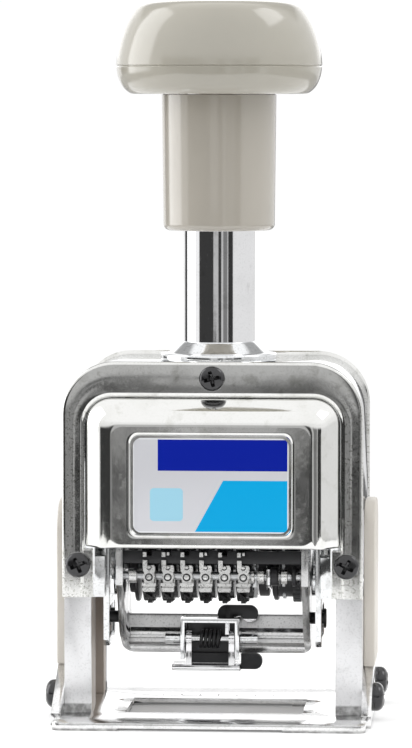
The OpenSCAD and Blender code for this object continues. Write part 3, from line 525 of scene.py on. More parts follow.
class Finish(Enum):
    """The finishes that the machine's pieces wear."""

    CHROME = Plated("bright_chrome", (0.83, 0.84, 0.85), grey(0.30, 0.02), 0.07, ripple_mm=0.22,
                    ripple_scale=80.0)
    BAND = Plated("bezel_chrome", grey(0.78, 0.015), grey(0.20, 0.045), 0.055, smear=0.05, ripple_mm=0.07,
                  ripple_scale=60.0, specks=0.55, clean_above_mm=72.0)
    RAISED = Plated("panel_chrome", grey(0.81, 0.015), grey(0.55, 0.05), 0.045, smear=0.04, ripple_mm=0.07,
                    ripple_scale=55.0, specks=0.10)
    # The base's lowest quarter millimetre is painted dark as the shadow line along its foot.
    FOOT = Plated("base_chrome", grey(0.93), grey(0.40, 0.01), 0.13, smear=0.05, ripple_mm=0.03,
                  ripple_scale=90.0, specks=0.25, grime_below_mm=0.25)
    FRAME = Plated("frame_nickel", grey(0.66), grey(0.28, 0.01), 0.16, smear=0.1, ripple_mm=0.10,
                   ripple_scale=90.0, specks=0.5)
    TUBE_CHROME = Plated("tube_chrome", grey(0.87, -0.01), grey(0.45, 0.01), 0.045, smear=0.03,
                         ripple_mm=0.02, ripple_scale=40.0, specks=0.12)
    # The legs' lowest few millimetres are painted darker, as shade and dark reflection at their feet.
    SATIN = Plated("satin_chrome", grey(0.86, -0.01), grey(0.58), 0.34, smear=0.06, ripple_mm=0.05,
                   ripple_scale=60.0, grain_mm=0.006, grime_below_mm=3.6)
    STEEL = Plated("bare_steel", (0.60, 0.61, 0.62), grey(0.30, -0.01), 0.24, smear=0.1, ripple_mm=0.05,
                   ripple_scale=80.0)
    MATTE = Plated("matte_nickel", grey(0.66), grey(0.34), 0.32, smear=0.1, ripple_mm=0.05, ripple_scale=90.0,
                   specks=0.6, grain_mm=0.02)
    NICKEL = Plated("pawl_nickel", grey(0.74, 0.01), grey(0.12), 0.24, smear=0.1, ripple_mm=0.06,
                    ripple_scale=300.0, specks=0.55, grain_mm=0.02)
    KNOB = Moulded("knob_plastic", (0.462, 0.438, 0.374), (0.415, 0.396, 0.341), 0.14, coat=0.8,
                   texture_mm=0.0008)
    SLEEVE = Moulded("sleeve_plastic", (0.470, 0.437, 0.381), (0.423, 0.395, 0.343), 0.15, coat=0.8,
                     texture_mm=0.0008)
    GUARD = Moulded("guard_plastic", (0.66, 0.62, 0.56), (0.58, 0.545, 0.49), 0.40)
    # A darker, browner copy of the guards' beige plastic: painted shade for the slide guides inside the legs'
    # channels.
    GUIDE = Moulded("guide_plastic", (0.56, 0.49, 0.43), (0.44, 0.37, 0.31), 0.45)
    BLACK_SCREW = Blackened("black_screw", grey(0.040, -0.002), grey(0.20, -0.01), 0.17, rubbed_share=0.06,
                            grain_mm=0.003, metal=0.8, coat=0.6)
    BLACK_STEEL = Blackened("black_steel", grey(0.030, -0.002), grey(0.20, -0.01), 0.36, rubbed_share=0.15,
                            metal=0.4)
    # The type's near-black is painted shade and dark reflection on steel type; it also paints the shadow rims
    # under the pawls' rivets.
    TYPE = Blackened("inked_type", grey(0.010, -0.001), grey(0.45, -0.01), 0.30, rubbed_share=0.36,
                     grain_mm=0.03, coat=0.3, grain_scale=2300.0)
    LEVER = LeverTones("lever_chrome")
    LABEL = PrintedPlate("label_face")
    FELT = Felt("inked_felt", (0.008, 0.008, 0.015), (0.05, 0.05, 0.08))

    @property
    def slot(self) -> Slot:
        """The record's slot for new pieces in this finish."""
        return {
            Finish.CHROME: Slot.BRIGHT, Finish.BAND: Slot.BRIGHT, Finish.RAISED: Slot.BRIGHT,
            Finish.FRAME: Slot.SATIN, Finish.MATTE: Slot.SATIN, Finish.NICKEL: Slot.SATIN,
            Finish.STEEL: Slot.STEEL, Finish.KNOB: Slot.KNOB, Finish.SLEEVE: Slot.BEIGE,
            Finish.BLACK_SCREW: Slot.SCREW, Finish.BLACK_STEEL: Slot.BLACK, Finish.TYPE: Slot.TYPE,
        }[self]


class Palette:
    """Makes each finish's material once."""

    made: dict[Finish, bpy.types.Material] = {}

    @classmethod
    def get(cls, finish: Finish) -> bpy.types.Material:
        """The material of a finish."""
        if finish not in cls.made:
            cls.made[finish] = finish.value.material()
        return cls.made[finish]


# ---- shapes -------------------------------------------------------------------------------


def smooth_curve(points: Sequence[Pair], steps: int = 6) -> list[Pair]:
    """Run a smooth curve through points.

    Args:
        points: Two or more points, in order.
        steps: New points in each stretch.

    Returns:
        The curve's points, ends included.
    """
    ends = [points[0], *points, points[-1]]
    curve: list[Pair] = []
    for i in range(1, len(ends) - 2):
        a, b, c, d = ends[i - 1 : i + 3]
        for k in range(steps):
            t = k / steps
            curve.append(tuple(
                0.5 * (2 * q + (r - p) * t + (2 * p - 5 * q + 4 * r - s) * t * t
                       + (3 * q - p - 3 * r + s) * t ** 3)
                for p, q, r, s in zip(a, b, c, d)
            ))
    return [*curve, tuple(points[-1])]


def arch(half_w: float, low: float, top: float, radius: float, steps: int = 14) -> list[Pair]:
    """Outline of an arch, from its lower left end over the top to its lower right end.

    Args:
        half_w: Half its width.
        low: Height of its ends.
        top: Height of its top.
        radius: Radius of its two corners.
        steps: Stretches in each corner.

    Returns:
        Points across and up, in millimetres, always as many for equal steps.
    """
    radius = max(radius, 0.05)
    left = [(-half_w + radius * (1 - math.sin(a)), top - radius * (1 - math.cos(a)))
            for a in (math.pi / 2 * (1 - k / steps) for k in range(steps + 1))]
    straight = 8
    up = [(-half_w, low + (top - radius - low) * k / straight) for k in range(straight)]
    over = [(left[-1][0] * (1 - 2 * k / straight), top) for k in range(1, straight)]
    half = [*up, *left]
    return [*half, *over, *((-x, z) for x, z in reversed(half))]


class Shape:
    """Gathers the points and faces of one piece, in metres."""

    def __init__(self) -> None:
        """Start with nothing."""
        self.points: list[Vector] = []
        self.faces: list[tuple[int, ...]] = []

    def loft(self, rings: Sequence[Sequence[Vector]], round_trip: bool = True, ends: str = "") -> "Shape":
        """Join rings of equal length with faces.

        Args:
            rings: Rings of points, in order.
            round_trip: Whether each ring closes on itself.
            ends: "caps" fills the first and last rings, "join" joins them to each other.

        Returns:
            The shape itself.
        """
        start = len(self.points)
        count = len(rings[0])
        for ring in rings:
            self.points.extend(ring)
        spans = len(rings) if ends == "join" else len(rings) - 1
        for i in range(spans):
            a = start + i * count
            b = start + ((i + 1) % len(rings)) * count
            for k in range(count if round_trip else count - 1):
                m = (k + 1) % count
                self.faces.append((a + k, a + m, b + m, b + k))
        if ends == "caps":
            last = start + (len(rings) - 1) * count
            self.faces.append(tuple(range(start + count - 1, start - 1, -1)))
            self.faces.append(tuple(range(last, last + count)))
        return self

    def lathe(self, profile: Sequence[Pair], centre: Vector, axis: str = "Z", steps: int = 96) -> "Shape":
        """Turn a profile of radius and height pairs about an axis.

        Args:
            profile: Radius and height, in millimetres; a radius of zero closes an end.
            centre: Where the axis crosses height zero, in metres.
            axis: "Z", "X" or "-Y".
            steps: Stretches round the axis.

        Returns:
            The shape itself.
        """
        turn = {
            "Z": Matrix.Identity(3),
            "X": Matrix(((0, 0, 1), (0, 1, 0), (-1, 0, 0))),
            "-Y": Matrix(((1, 0, 0), (0, 0, -1), (0, 1, 0))),
        }[axis]
        rings = [
            [centre + turn @ Vector((r * math.cos(a), r * math.sin(a), h)) * MM
             for a in (2 * math.pi * k / steps for k in range(steps))]
            for r, h in profile
        ]
        closed = profile[0][0] == 0 or profile[-1][0] == 0
        return self.loft(rings, True, "" if closed else "join")

    def slab(self, low: tuple, high: tuple) -> "Shape":
        """Add a block between two corners, in millimetres from the handle's axis."""
        corners = [[place(x, y, z) for x, y in
                    ((low[0], low[1]), (high[0], low[1]), (high[0], high[1]), (low[0], high[1]))]
                   for z in (low[2], high[2])]
        return self.loft(corners, True, "caps")

    def plate(self, outline: Sequence[Pair], x0: float, x1: float) -> "Shape":
        """Add a plate across X whose outline is given as depth and height, in millimetres."""
        rings = [[place(x, y, z) for y, z in outline] for x in (x0, x1)]
        return self.loft(rings, True, "caps")

    def front(self, outline: Sequence[Pair], y0: float, y1: float) -> "Shape":
        """Add a plate across Y whose outline is given across and up, in millimetres."""
        rings = [[place(x, y, z) for x, z in outline] for y in (y0, y1)]
        return self.loft(rings, True, "caps")

    def make(self, name: str, bevel_mm: float = 0.0, angle: float = 35.0) -> bpy.types.Object:
        """Turn the gathered faces into an object.

        Args:
            name: The object's name.
            bevel_mm: Width of the rounding on its sharp edges.
            angle: Edges sharper than this many degrees stay sharp.

        Returns:
            The object, with its faces turned outwards.
        """
        mesh = bpy.data.meshes.new(name)
        mesh.from_pydata([tuple(p) for p in self.points], [], self.faces)
        work = bmesh.new()
        work.from_mesh(mesh)
        bmesh.ops.remove_doubles(work, verts=work.verts, dist=1e-7)
        bmesh.ops.dissolve_degenerate(work, edges=work.edges, dist=1e-8)
        bmesh.ops.recalc_face_normals(work, faces=work.faces)
        work.to_mesh(mesh)
        work.free()
        piece = add_object(name, mesh)
        if bevel_mm:
            add_bevel(piece, bevel_mm, 30.0)
        shade(piece, angle)
        return piece


def add_bevel(piece: bpy.types.Object, width_mm: float, angle: float) -> None:
    """Round a piece's sharp edges with a live modifier.

    Args:
        piece: The piece.
        width_mm: Width of the rounding.
        angle: Edges sharper than this many degrees are rounded.
    """
    bevel = piece.modifiers.new("round_edges", "BEVEL")
    bevel.width = width_mm * MM
    bevel.segments = 2
    bevel.limit_method = "ANGLE"
    bevel.angle_limit = math.radians(angle)
    bevel.harden_normals = False


def shade(piece: bpy.types.Object, angle: float) -> None:
    """Shade a new piece smooth but for its sharp edges.

    Args:
        piece: The piece.
        angle: Edges sharper than this many degrees stay sharp.
    """
    for face in piece.data.polygons:
        face.use_smooth = True
    piece.data.set_sharp_from_angle(angle=math.radians(angle))


class Trim:
    """Puts finished pieces on their bodies and reports them."""

    @staticmethod
    def fit(piece: bpy.types.Object, body: str, finish: Finish,
            stands_for: Iterable[str] = ()) -> bpy.types.Object:
        """Give a piece its material and body, and log it.

        Args:
            piece: The finished object.
            body: The body that it rides on.
            finish: Its finish.
            stands_for: Frame nodes that it replaces.

        Returns:
            The piece.
        """
        piece.data.materials.clear()
        piece.data.materials.append(Palette.get(finish))
        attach(piece, body)
        if stands_for:
            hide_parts(*stands_for)
        LOG.info("%s rides on %s in %s", piece.name, body, finish.name)
        return piece


# ---- geometry node trees ------------------------------------------------------------------


class Growth(Graph):
    """A Geometry Nodes tree with named sizes that ends in plain, dressed geometry."""

    def __init__(self, name: str, sizes: dict[str, float]) -> None:
        """Start a tree.

        Args:
            name: The tree's name.
            sizes: Its named inputs and their usual values.
        """
        super().__init__(bpy.data.node_groups.new(name, "GeometryNodeTree"))
        face = self.tree.interface
        face.new_socket(name="Geometry", in_out="INPUT", socket_type="NodeSocketGeometry")
        face.new_socket(name="Geometry", in_out="OUTPUT", socket_type="NodeSocketGeometry")
        self.keys: dict[str, str] = {}
        for label, value in sizes.items():
            socket = face.new_socket(name=label, in_out="INPUT", socket_type="NodeSocketFloat")
            socket.default_value = value
            self.keys[label] = socket.identifier
        self.given = self.node("NodeGroupInput").outputs

    def close(self, geometry: bpy.types.NodeSocket, finish: Finish, smooth: bool = True) -> None:
        """End the tree with realized, dressed geometry.

        Args:
            geometry: What the tree has made.
            finish: The finish that it wears.
            smooth: Whether it is shaded smooth; else it keeps the shading that it has.
        """
        last = self.node("GeometryNodeRealizeInstances", None, {0: geometry})
        if smooth:
            last = self.node("GeometryNodeSetShadeSmooth", None,
                             {"Geometry": last.outputs[0], "Shade Smooth": True})
        dressed = self.node("GeometryNodeSetMaterial", None,
                            {"Geometry": last.outputs[0], "Material": Palette.get(finish)})
        self.node("NodeGroupOutput", None, {0: dressed.outputs[0]})

    def grow(self, name: str, seed: bpy.types.Mesh, **sizes: float) -> bpy.types.Object:
        """Run the tree and keep its result as a plain mesh.

        Args:
            name: The new object's name.
            seed: The mesh that the tree starts from.
            sizes: Inputs that differ from their usual values.

        Returns:
            An object with no modifiers.
        """
        carrier = add_object(name + "_seed", seed)
        modifier = carrier.modifiers.new("grow", "NODES")
        modifier.node_group = self.tree
        for label, value in sizes.items():
            modifier[self.keys[label]] = value
        mesh = settle(carrier)
        mesh.name = name
        return add_object(name, mesh)


def seed_points(points: Sequence[Vector]) -> bpy.types.Mesh:
    """Make loose points for a tree to start from.

    Args:
        points: Where they are, in metres.

    Returns:
        The mesh.
    """
    mesh = bpy.data.meshes.new("points")
    mesh.from_pydata([tuple(p) for p in points], [], [])
    return mesh


class CoilSpring(Growth):
    """Round wire swept along a helix about +Z, starting at each seed point."""

    def __init__(self, finish: Finish) -> None:
        """Build the tree for springs of one finish."""
        super().__init__("coil_spring", {"Radius": 0.005, "Wire": 0.0006, "Height": 0.07, "Turns": 15.0})
        spiral = self.node("GeometryNodeCurveSpiral", None, {
            "Resolution": 36, "Rotations": self.given["Turns"], "Start Radius": self.given["Radius"],
            "End Radius": self.given["Radius"], "Height": self.given["Height"]})
        wire = self.node("GeometryNodeCurvePrimitiveCircle", None,
                         {"Resolution": 10, "Radius": self.given["Wire"]})
        swept = self.node("GeometryNodeCurveToMesh", None,
                          {"Curve": spiral.outputs[0], "Profile Curve": wire.outputs[0], "Fill Caps": True})
        placed = self.node("GeometryNodeInstanceOnPoints", None,
                           {"Points": self.given["Geometry"], "Instance": swept.outputs[0]})
        self.close(placed.outputs[0], finish)


class Copies(Growth):
    """The same small form at every seed point, turned by the tree's angles."""

    def __init__(self, form: bpy.types.Object, finish: Finish) -> None:
        """Build the tree for one form.

        Args:
            form: The form's mesh about the origin.
            finish: Its finish.
        """
        super().__init__("copies_of_" + form.name, {"Tilt": 0.0, "Turn": 0.0, "Spin": 0.0, "Step": 0.0})
        template = self.node("GeometryNodeObjectInfo", None, {"Object": form})
        place_in_row = Wire(self, self.node("GeometryNodeInputIndex").outputs[0])
        tilt = place_in_row * self.given["Step"] + self.given["Tilt"]
        angles = self.node("ShaderNodeCombineXYZ", None, {0: tilt, 1: self.given["Turn"], 2: 0.0})
        facing = self.node("FunctionNodeEulerToRotation", None, {0: angles.outputs[0]})
        own = self.node("FunctionNodeAxisAngleToRotation", None,
                        {"Axis": (0, 0, 1), "Angle": self.given["Spin"]})
        both = self.node("FunctionNodeRotateRotation", {"rotation_space": "LOCAL"},
                         {0: facing.outputs[0], 1: own.outputs[0]})
        placed = self.node("GeometryNodeInstanceOnPoints", None, {
            "Points": self.given["Geometry"], "Instance": template.outputs["Geometry"],
            "Rotation": both.outputs[0]})
        self.close(placed.outputs[0], finish, smooth=False)


# ---- sub-assemblies -----------------------------------------------------------------------


@dataclass
class Handle:
    """Knob, grip sleeve and collar on the handle tube."""

    knob_low: list[Pair] = field(default_factory=lambda: [
        (19.4, 145.3), (20.9, 145.45), (22.6, 146.9), (23.75, 149.3), (24.15, 151.5)])
    knob_high: list[Pair] = field(default_factory=lambda: [
        (24.2, 152.1), (23.95, 154.6), (23.2, 157.9), (22.2, 160.9), (20.9, 163.5), (19.3, 165.6),
        (17.0, 166.65), (13.0, 166.95), (6.0, 167.05), (0.0, 167.08)])
    seam_z: float = 151.8

    def build(self) -> None:
        """Build and dress the handle's pieces."""
        axis = place(0, 0, 0)
        low = [(8.4, 145.3), *smooth_curve(self.knob_low), (23.9, self.seam_z), (8.4, self.seam_z)]
        Trim.fit(Shape().lathe(low, axis).make("knob_shell", 0, 40), "carriage", Finish.KNOB,
                 ["knob_body"])
        high = [(0.0, 165.0), (14.0, 164.6), (21.4, 157.0), (22.0, self.seam_z),
                (23.9, self.seam_z), *smooth_curve(self.knob_high)]
        Trim.fit(Shape().lathe(high, axis).make("knob_crown", 0, 40), "carriage", Finish.KNOB,
                 ["knob_cap"])
        edge = [(13.1 - 1.5 * (1 - math.cos(a)), 113.4 + 1.5 * (1 - math.sin(a)))
                for a in (math.pi / 2 * (1 - k / 8) for k in range(9))]
        sleeve = [(8.4, 113.4), *edge, *((13.1 + 0.35 * k / 8, 115 + 30.1 * k / 8) for k in range(1, 9)),
                  (13.2, 145.25), (8.4, 145.25)]
        Trim.fit(Shape().lathe(sleeve, axis).make("sleeve_shell", 0, 40), "carriage", Finish.SLEEVE,
                 ["grip_sleeve"])
        ring = [(8.4, 82.82), (13.45, 82.82), (13.65, 82.95), (13.7, 83.2), (13.7, 84.2), (13.6, 84.5),
                (13.35, 84.62), (12.0, 84.64), (11.75, 84.8), (11.1, 85.35), (10.2, 86.2), (9.35, 86.95),
                (9.05, 87.25), (8.7, 87.38), (8.4, 87.38)]
        Trim.fit(Shape().lathe(ring, axis).make("collar_ring", 0, 50), "carriage", Finish.CHROME, ["collar"])


@dataclass
class Housing:
    """The two bezels and the raised panel that close the housing's front and back."""

    half_w: float = 34.8
    top: float = 83.75
    low: float = 29.1
    corner: float = 12.3
    front_y: float = -23.0
    body_y: float = -21.8

    def band(self, name: str, side: int, inner_w: float, inner_top: float,
             inner_r: float) -> bpy.types.Object:
        """One bezel, with rounded outer and inner edges.

        Args:
            name: The piece's name.
            side: -1 for the front and 1 for the back.
            inner_w: Half the width of its opening.
            inner_top: Height of its opening.
            inner_r: Radius of the opening's corners.

        Returns:
            The bezel.
        """
        face = -self.front_y * side
        back = -self.body_y * side
        rows: list[tuple[list[Pair], float]] = []
        outer, inner, crown = 0.85, 1.25, 0.05
        roll = 0.55 if side > 0 else 0.35

        def add(inset: float, depth: float, of_inner: bool) -> None:
            """Add one outline at a depth.

            Args:
                inset: How far the outline lies inside the bezel's outer edge, or outside its opening.
                depth: Where it lies along Y.
                of_inner: Whether it follows the opening.
            """
            if of_inner:
                line = arch(inner_w + inset, self.low, inner_top + inset, inner_r + inset)
            else:
                line = arch(self.half_w - inset, self.low, self.top - inset, self.corner - inset)
            rows.append((line, depth))

        add(0.85, back, False)
        add(0.3, back + side * roll * 0.4, False)
        add(0.0, back + side * roll * 0.8, False)
        for k in range(3, 10):
            a = math.pi / 2 * k / 9
            add(outer * (1 - math.cos(a)), face - side * (crown + outer * 0.8 * (1 - math.sin(a))), False)
        add(2.2, face, False)
        add(inner + 0.9, face - side * 0.01, True)
        for k in range(9):
            a = math.pi / 2 * (1 - k / 8)
            add(inner * (1 - math.cos(a)), face - side * (crown + 0.7 * (1 - math.sin(a))), True)
        add(0, back, True)
        rings = [[place(x, y, z) for x, z in line] for line, y in rows]
        shape = Shape().loft(rings, False, "join")
        ends = len(rings[0])
        shape.faces.append(tuple(i * ends for i in range(len(rings))))
        shape.faces.append(tuple(i * ends + ends - 1 for i in range(len(rings) - 1, -1, -1)))
        return shape.make(name, 0, 40)

    def panel(self) -> bpy.types.Object:
        """The raised panel: rim, slanted flank, flat ridge and sunk label seat."""
        low = 40.9
        rows: list[tuple[float, float, float, float, float]] = [
            # half width, lower edge, top, corner radius, depth
            (29.45, low, 75.4, 6.2, -22.3),
            (29.1, low, 75.05, 5.9, -22.5),
            (26.7, low, 72.7, 4.6, -25.8),
            (26.1, low + 0.05, 72.1, 4.2, -26.4),
            (25.4, low + 0.1, 71.4, 3.8, -26.85),
            (24.6, low + 0.2, 70.7, 3.3, -27.17),
            (23.9, low + 0.35, 70.1, 2.9, -27.37),
            (23.3, low + 0.55, 69.6, 2.6, -27.47),
            (22.9, low + 0.8, 69.3, 2.5, -27.5),
            (22.6, low + 1.1, 68.95, 2.45, -27.5),
            (19.5, 43.2, 67.9, 2.42, -27.5),
            (19.0, 43.55, 67.6, 2.4, -27.5),
            (18.75, 43.8, 67.35, 2.3, -27.42),
            (18.55, 44.0, 67.15, 2.25, -27.2),
            (18.4, 44.15, 67.0, 2.2, -26.85),
        ]
        rings = []
        for half, z0, z1, r, y in rows:
            line = arch(half, z0, z1, r)
            foot_r = min(r, 2.0) if z0 > low + 0.5 else 0.6
            foot = [(half - foot_r * (1 - math.cos(a)), z0 + foot_r * (1 - math.sin(a)))
                    for a in (math.pi / 2 * k / 6 for k in range(7))]
            line = [(x, max(z, z0 + foot_r)) for x, z in line]
            bottom = [(foot[-1][0] * (1 - 2 * k / 10), z0) for k in range(1, 10)]
            loop = [*line, *foot[1:], *bottom, *((-x, z) for x, z in reversed(foot[1:]))]
            rings.append([place(x, y, z) for x, z in loop])
        shape = Shape().loft(rings, True)
        last = (len(rings) - 1) * len(rings[0])
        shape.faces.append(tuple(range(last, last + len(rings[0]))))
        piece = shape.make("pressed_panel", 0, 60)
        wall = piece.modifiers.new("wall", "SOLIDIFY")
        wall.thickness = 0.6 * MM
        wall.offset = -1.0
        return piece

    def build(self) -> None:
        """Build and dress the bezels and the panel."""
        front = self.band("front_rim", -1, 29.6, 75.5, 6.4)
        cheeks = Shape()
        for side in (-1, 1):
            x0, x1 = sorted((side * 27.6, side * 29.9))
            cheeks.slab((x0, -22.95, 29.1), (x1, -21.8, 40.2))
        Trim.fit(front, "carriage", Finish.BAND, ["front_bezel"])
        Trim.fit(cheeks.make("front_cheeks", 0.15), "carriage", Finish.BAND)
        Trim.fit(self.band("rear_rim", 1, 22.0, 71.0, 5.0), "carriage", Finish.BAND,
                 ["rear_bezel"])
        Trim.fit(self.panel(), "carriage", Finish.RAISED, ["front_panel"])


@dataclass
class Screws:
    """Pan-head screws with cross recesses."""

    cover_z: float = 36.7
    top_z: float = 79.9
    side_x: float = 31.0
    cover_y: float = 23.0
    cover_head: Pair = (2.95, 1.93)
    ear_x: float = 36.9
    ear_y: float = 14.0
    ear_z: float = 5.4
    ear_head: Pair = (3.35, 2.7)

    def head(self, name: str, radius: float, height: float) -> bpy.types.Object:
        """One pan head with a cross recess, standing on the origin and facing +Z.

        Args:
            name: Its name.
            radius: Radius of the head, in millimetres.
            height: Height of the head, in millimetres.

        Returns:
            The head.
        """
        steps = 64
        arm, wide = radius * 0.62, radius * 0.155

        def ring(reach: float, z: float | None, star: bool = False) -> list[Vector]:
            """Points round the head.

            Args:
                reach: Radius of a circle, or scale of the cross.
                z: Height in millimetres; without one the points lie on the dome.
                star: Whether the points follow the cross.

            Returns:
                The points.
            """
            points = []
            for k in range(steps):
                a = 2 * math.pi * k / steps
                off = (a + math.pi / 4) % (math.pi / 2) - math.pi / 4
                r = min(arm / math.cos(off), wide / max(abs(math.sin(off)), 0.01)) * reach if star else reach
                dome = height * (0.3 + 0.7 * math.sqrt(max(0.0, 1 - (r / radius) ** 3)))
                points.append(Vector((r * math.cos(a), r * math.sin(a), dome if z is None else z)) * MM)
            return points

        rings = [ring(0.0, -0.4), ring(radius * 0.55, -0.4), ring(radius * 0.55, 0.0),
                 ring(radius * 0.97, 0.0), ring(radius, height * 0.08)]
        rings += [ring(radius * k, None) for k in (1.0, 0.985, 0.95, 0.9, 0.84, 0.77, 0.7)]
        rings += [ring(1.0, None, True), ring(0.9, height * 0.8, True), ring(0.6, height * 0.2, True),
                  ring(0.0, height * 0.1)]
        return Shape().loft(rings, True).make(name, 0, 40)

    def build(self) -> None:
        """Build and dress all the screws."""
        head = self.head("cover_head", *self.cover_head)
        heads = Copies(head, Finish.BLACK_SCREW)
        places = [(-self.side_x, self.cover_z, 0.4), (self.side_x, self.cover_z, 1.1),
                  (0.0, self.top_z, 0.25)]
        group: list[bpy.types.Object] = []
        for x, z, spin in places:
            for side in (-1, 1):
                seat = seed_points([place(x, side * self.cover_y, z)])
                tilt = math.pi / 2 if side < 0 else -math.pi / 2
                group.append(heads.grow("cover_screw", seat, Tilt=tilt, Spin=spin))
        Trim.fit(join(group, "cover_screw_heads"), "carriage", Finish.BLACK_SCREW, ["cover_screws"])
        side_head = self.head("leg_head", *self.ear_head)
        sides = Copies(side_head, Finish.BLACK_SCREW)
        group = []
        for k, (side, along) in enumerate(((-1, -1), (-1, 1), (1, -1), (1, 1))):
            seat = seed_points([place(side * self.ear_x, along * self.ear_y, self.ear_z)])
            turn = side * math.pi / 2
            group.append(sides.grow("leg_screw", seat, Turn=turn, Spin=0.3 + 0.5 * k))
        Trim.fit(join(group, "leg_screw_heads"), "base", Finish.BLACK_SCREW, ["leg_screws"])
        for spare in (head, side_head):
            bpy.data.objects.remove(spare)


def join(pieces: Sequence[bpy.types.Object], name: str) -> bpy.types.Object:
    """Make one object of several plain ones.

    Args:
        pieces: The objects, which are removed.
        name: The new object's name.

    Returns:
        The new object.
    """
    work = bmesh.new()
    for piece in pieces:
        work.from_mesh(piece.data)
    mesh = bpy.data.meshes.new(name)
    work.to_mesh(mesh)
    work.free()
    for piece in pieces:
        bpy.data.objects.remove(piece)
    return add_object(name, mesh)


@dataclass
class Springs:
    """The return spring round the guide rod and the lever's torsion spring."""

    seat_z: float = 57.5
    top_z: float = 136.0
    radius: float = 5.1
    wire: float = 0.6
    lever_radius: float = 1.85
    lever_wire: float = 0.42
    lever_length: float = 4.4
    lever_end: tuple[float, float, float] = (-4.3, 0.5, 16.8)

    def build(self) -> None:
        """Build and dress both springs."""
        steel = CoilSpring(Finish.STEEL)
        foot = place(0, 0, self.seat_z + self.wire)
        coil = steel.grow("return_coil", seed_points([foot]), Radius=self.radius * MM, Wire=self.wire * MM,
                          Height=(self.top_z - self.seat_z - 2 * self.wire) * MM, Turns=15.0)
        Trim.fit(coil, "base", Finish.STEEL, ["return_spring"])
        tuple(place(0, 0, self.seat_z))
        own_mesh(coil)
        black = CoilSpring(Finish.BLACK_STEEL)
        twist = black.grow("lever_coil", seed_points([Vector((0, 0, 0))]), Radius=self.lever_radius * MM,
                           Wire=self.lever_wire * MM, Height=self.lever_length * MM, Turns=4.5)
        spin = Matrix.Translation(place(*self.lever_end)) @ Matrix.Rotation(math.pi / 2, 4, "Y")
        twist.data.transform(spin)
        Trim.fit(twist, "head", Finish.BLACK_STEEL, ["lever_spring"])


@dataclass
class Pawls:
    """The six detent pawls, with their rivets, and the light pins of the comb above them."""

    first_x: float = -15.4
    pitch: float = 4.41
    shaft_y: float = -11.4
    shaft_z: float = 33.0
    face_y: float = -13.3
    back_y: float = -12.1
    outline: list[Pair] = field(default_factory=lambda: [
        (-1.15, 31.4), (-1.15, 32.1), (-1.38, 32.6), (-1.38, 33.3), (-1.1, 33.8), (-1.45, 34.3),
        (-1.45, 35.2), (-1.2, 35.6), (1.1, 35.6), (1.4, 35.2), (1.4, 34.3), (1.05, 33.8), (1.35, 33.3),
        (1.35, 32.6), (1.1, 32.1), (1.1, 31.4)])

    def finger(self) -> bpy.types.Object:
        """The pawl's plate, neck, hub, two stepped lips and thin nose, about x = 0."""
        shape = Shape().front(self.outline, self.face_y, self.back_y)
        shape.slab((-1.45, -13.9, 35.2), (-0.4, -13.62, 36.85))
        shape.slab((-1.45, -13.65, 34.9), (-0.4, -13.1, 35.6))
        shape.slab((-1.65, -13.75, 30.82), (1.6, -12.1, 31.5))
        shape.slab((-1.4, -13.0, 30.3), (1.4, -12.1, 30.85))
        shape.slab((-1.5, -13.9, 29.62), (1.45, -12.1, 30.36))
        shape.slab((-1.3, -13.4, 29.4), (1.3, -12.1, 29.7))
        shape.lathe([(0.0, -1.35), (1.65, -1.35), (1.8, -1.2), (1.8, 1.2), (1.65, 1.35), (0.0, 1.35)],
                    place(0, self.shaft_y, self.shaft_z), "X", 32)
        shape.plate([(-11.4, 34.2), (-12.4, 31.5), (-8.1, 30.2), (-7.5, 30.9), (-9.9, 33.2)], 0.8, 1.5)
        for z, r in ((32.86, 0.66), (35.2, 0.5)):
            shape.lathe([(0.0, 0.42), (r * 0.6, 0.40), (r * 0.9, 0.28), (r, 0.1), (r, -0.1), (0.0, -0.1)],
                        place(-0.05, self.face_y, z), "-Y", 24)
        return shape.make("pawl_finger", 0.0, 30)

    def rims(self) -> bpy.types.Object:
        """Dark rims a little below the pawl's two rivets, painting the shadow under their heads, about x = 0.
        """
        shape = Shape()
        # Each rim sits lower than its rivet head, so the dark ring shows mostly beneath it: painted shadow.
        for z, r in ((32.80, 0.93), (35.1, 0.62)):
            shape.lathe([(0.0, 0.06), (r, 0.06), (r, -0.06), (0.0, -0.06)],
                        place(-0.05, self.face_y, z), "-Y", 24)
        return shape.make("pawl_rims", 0.0, 30)

    def build(self) -> None:
        """Build and dress the pawls and the comb's pins."""
        finger, rims = self.finger(), self.rims()
        fingers, rings = Copies(finger, Finish.NICKEL), Copies(rims, Finish.TYPE)
        pins = Shape()
        for k in range(6):
            x = self.first_x + k * self.pitch
            seat = [Vector((x * MM, 0, 0))]
            pawl = fingers.grow(f"pawl_{k + 1}_finger", seed_points(seat))
            Trim.fit(pawl, f"pawl_{k + 1}", Finish.NICKEL, [f"detent_pawl_{k + 1}"])
            # Painted shadow rims under the rivets, in the dark type finish.
            ring = rings.grow(f"pawl_{k + 1}_rims", seed_points(seat))
            Trim.fit(ring, f"pawl_{k + 1}", Finish.TYPE)
            pins.slab((x - 1.5, -13.3, 37.55), (x - 0.6, -12.9, 38.7))
            if k % 2:
                pins.slab((x - 0.3, -13.15, 37.9), (x + 0.3, -12.9, 38.7))
        Trim.fit(pins.make("comb_pins", 0.08), "head", Finish.NICKEL)
        for spare in (finger, rims):
            bpy.data.objects.remove(spare)


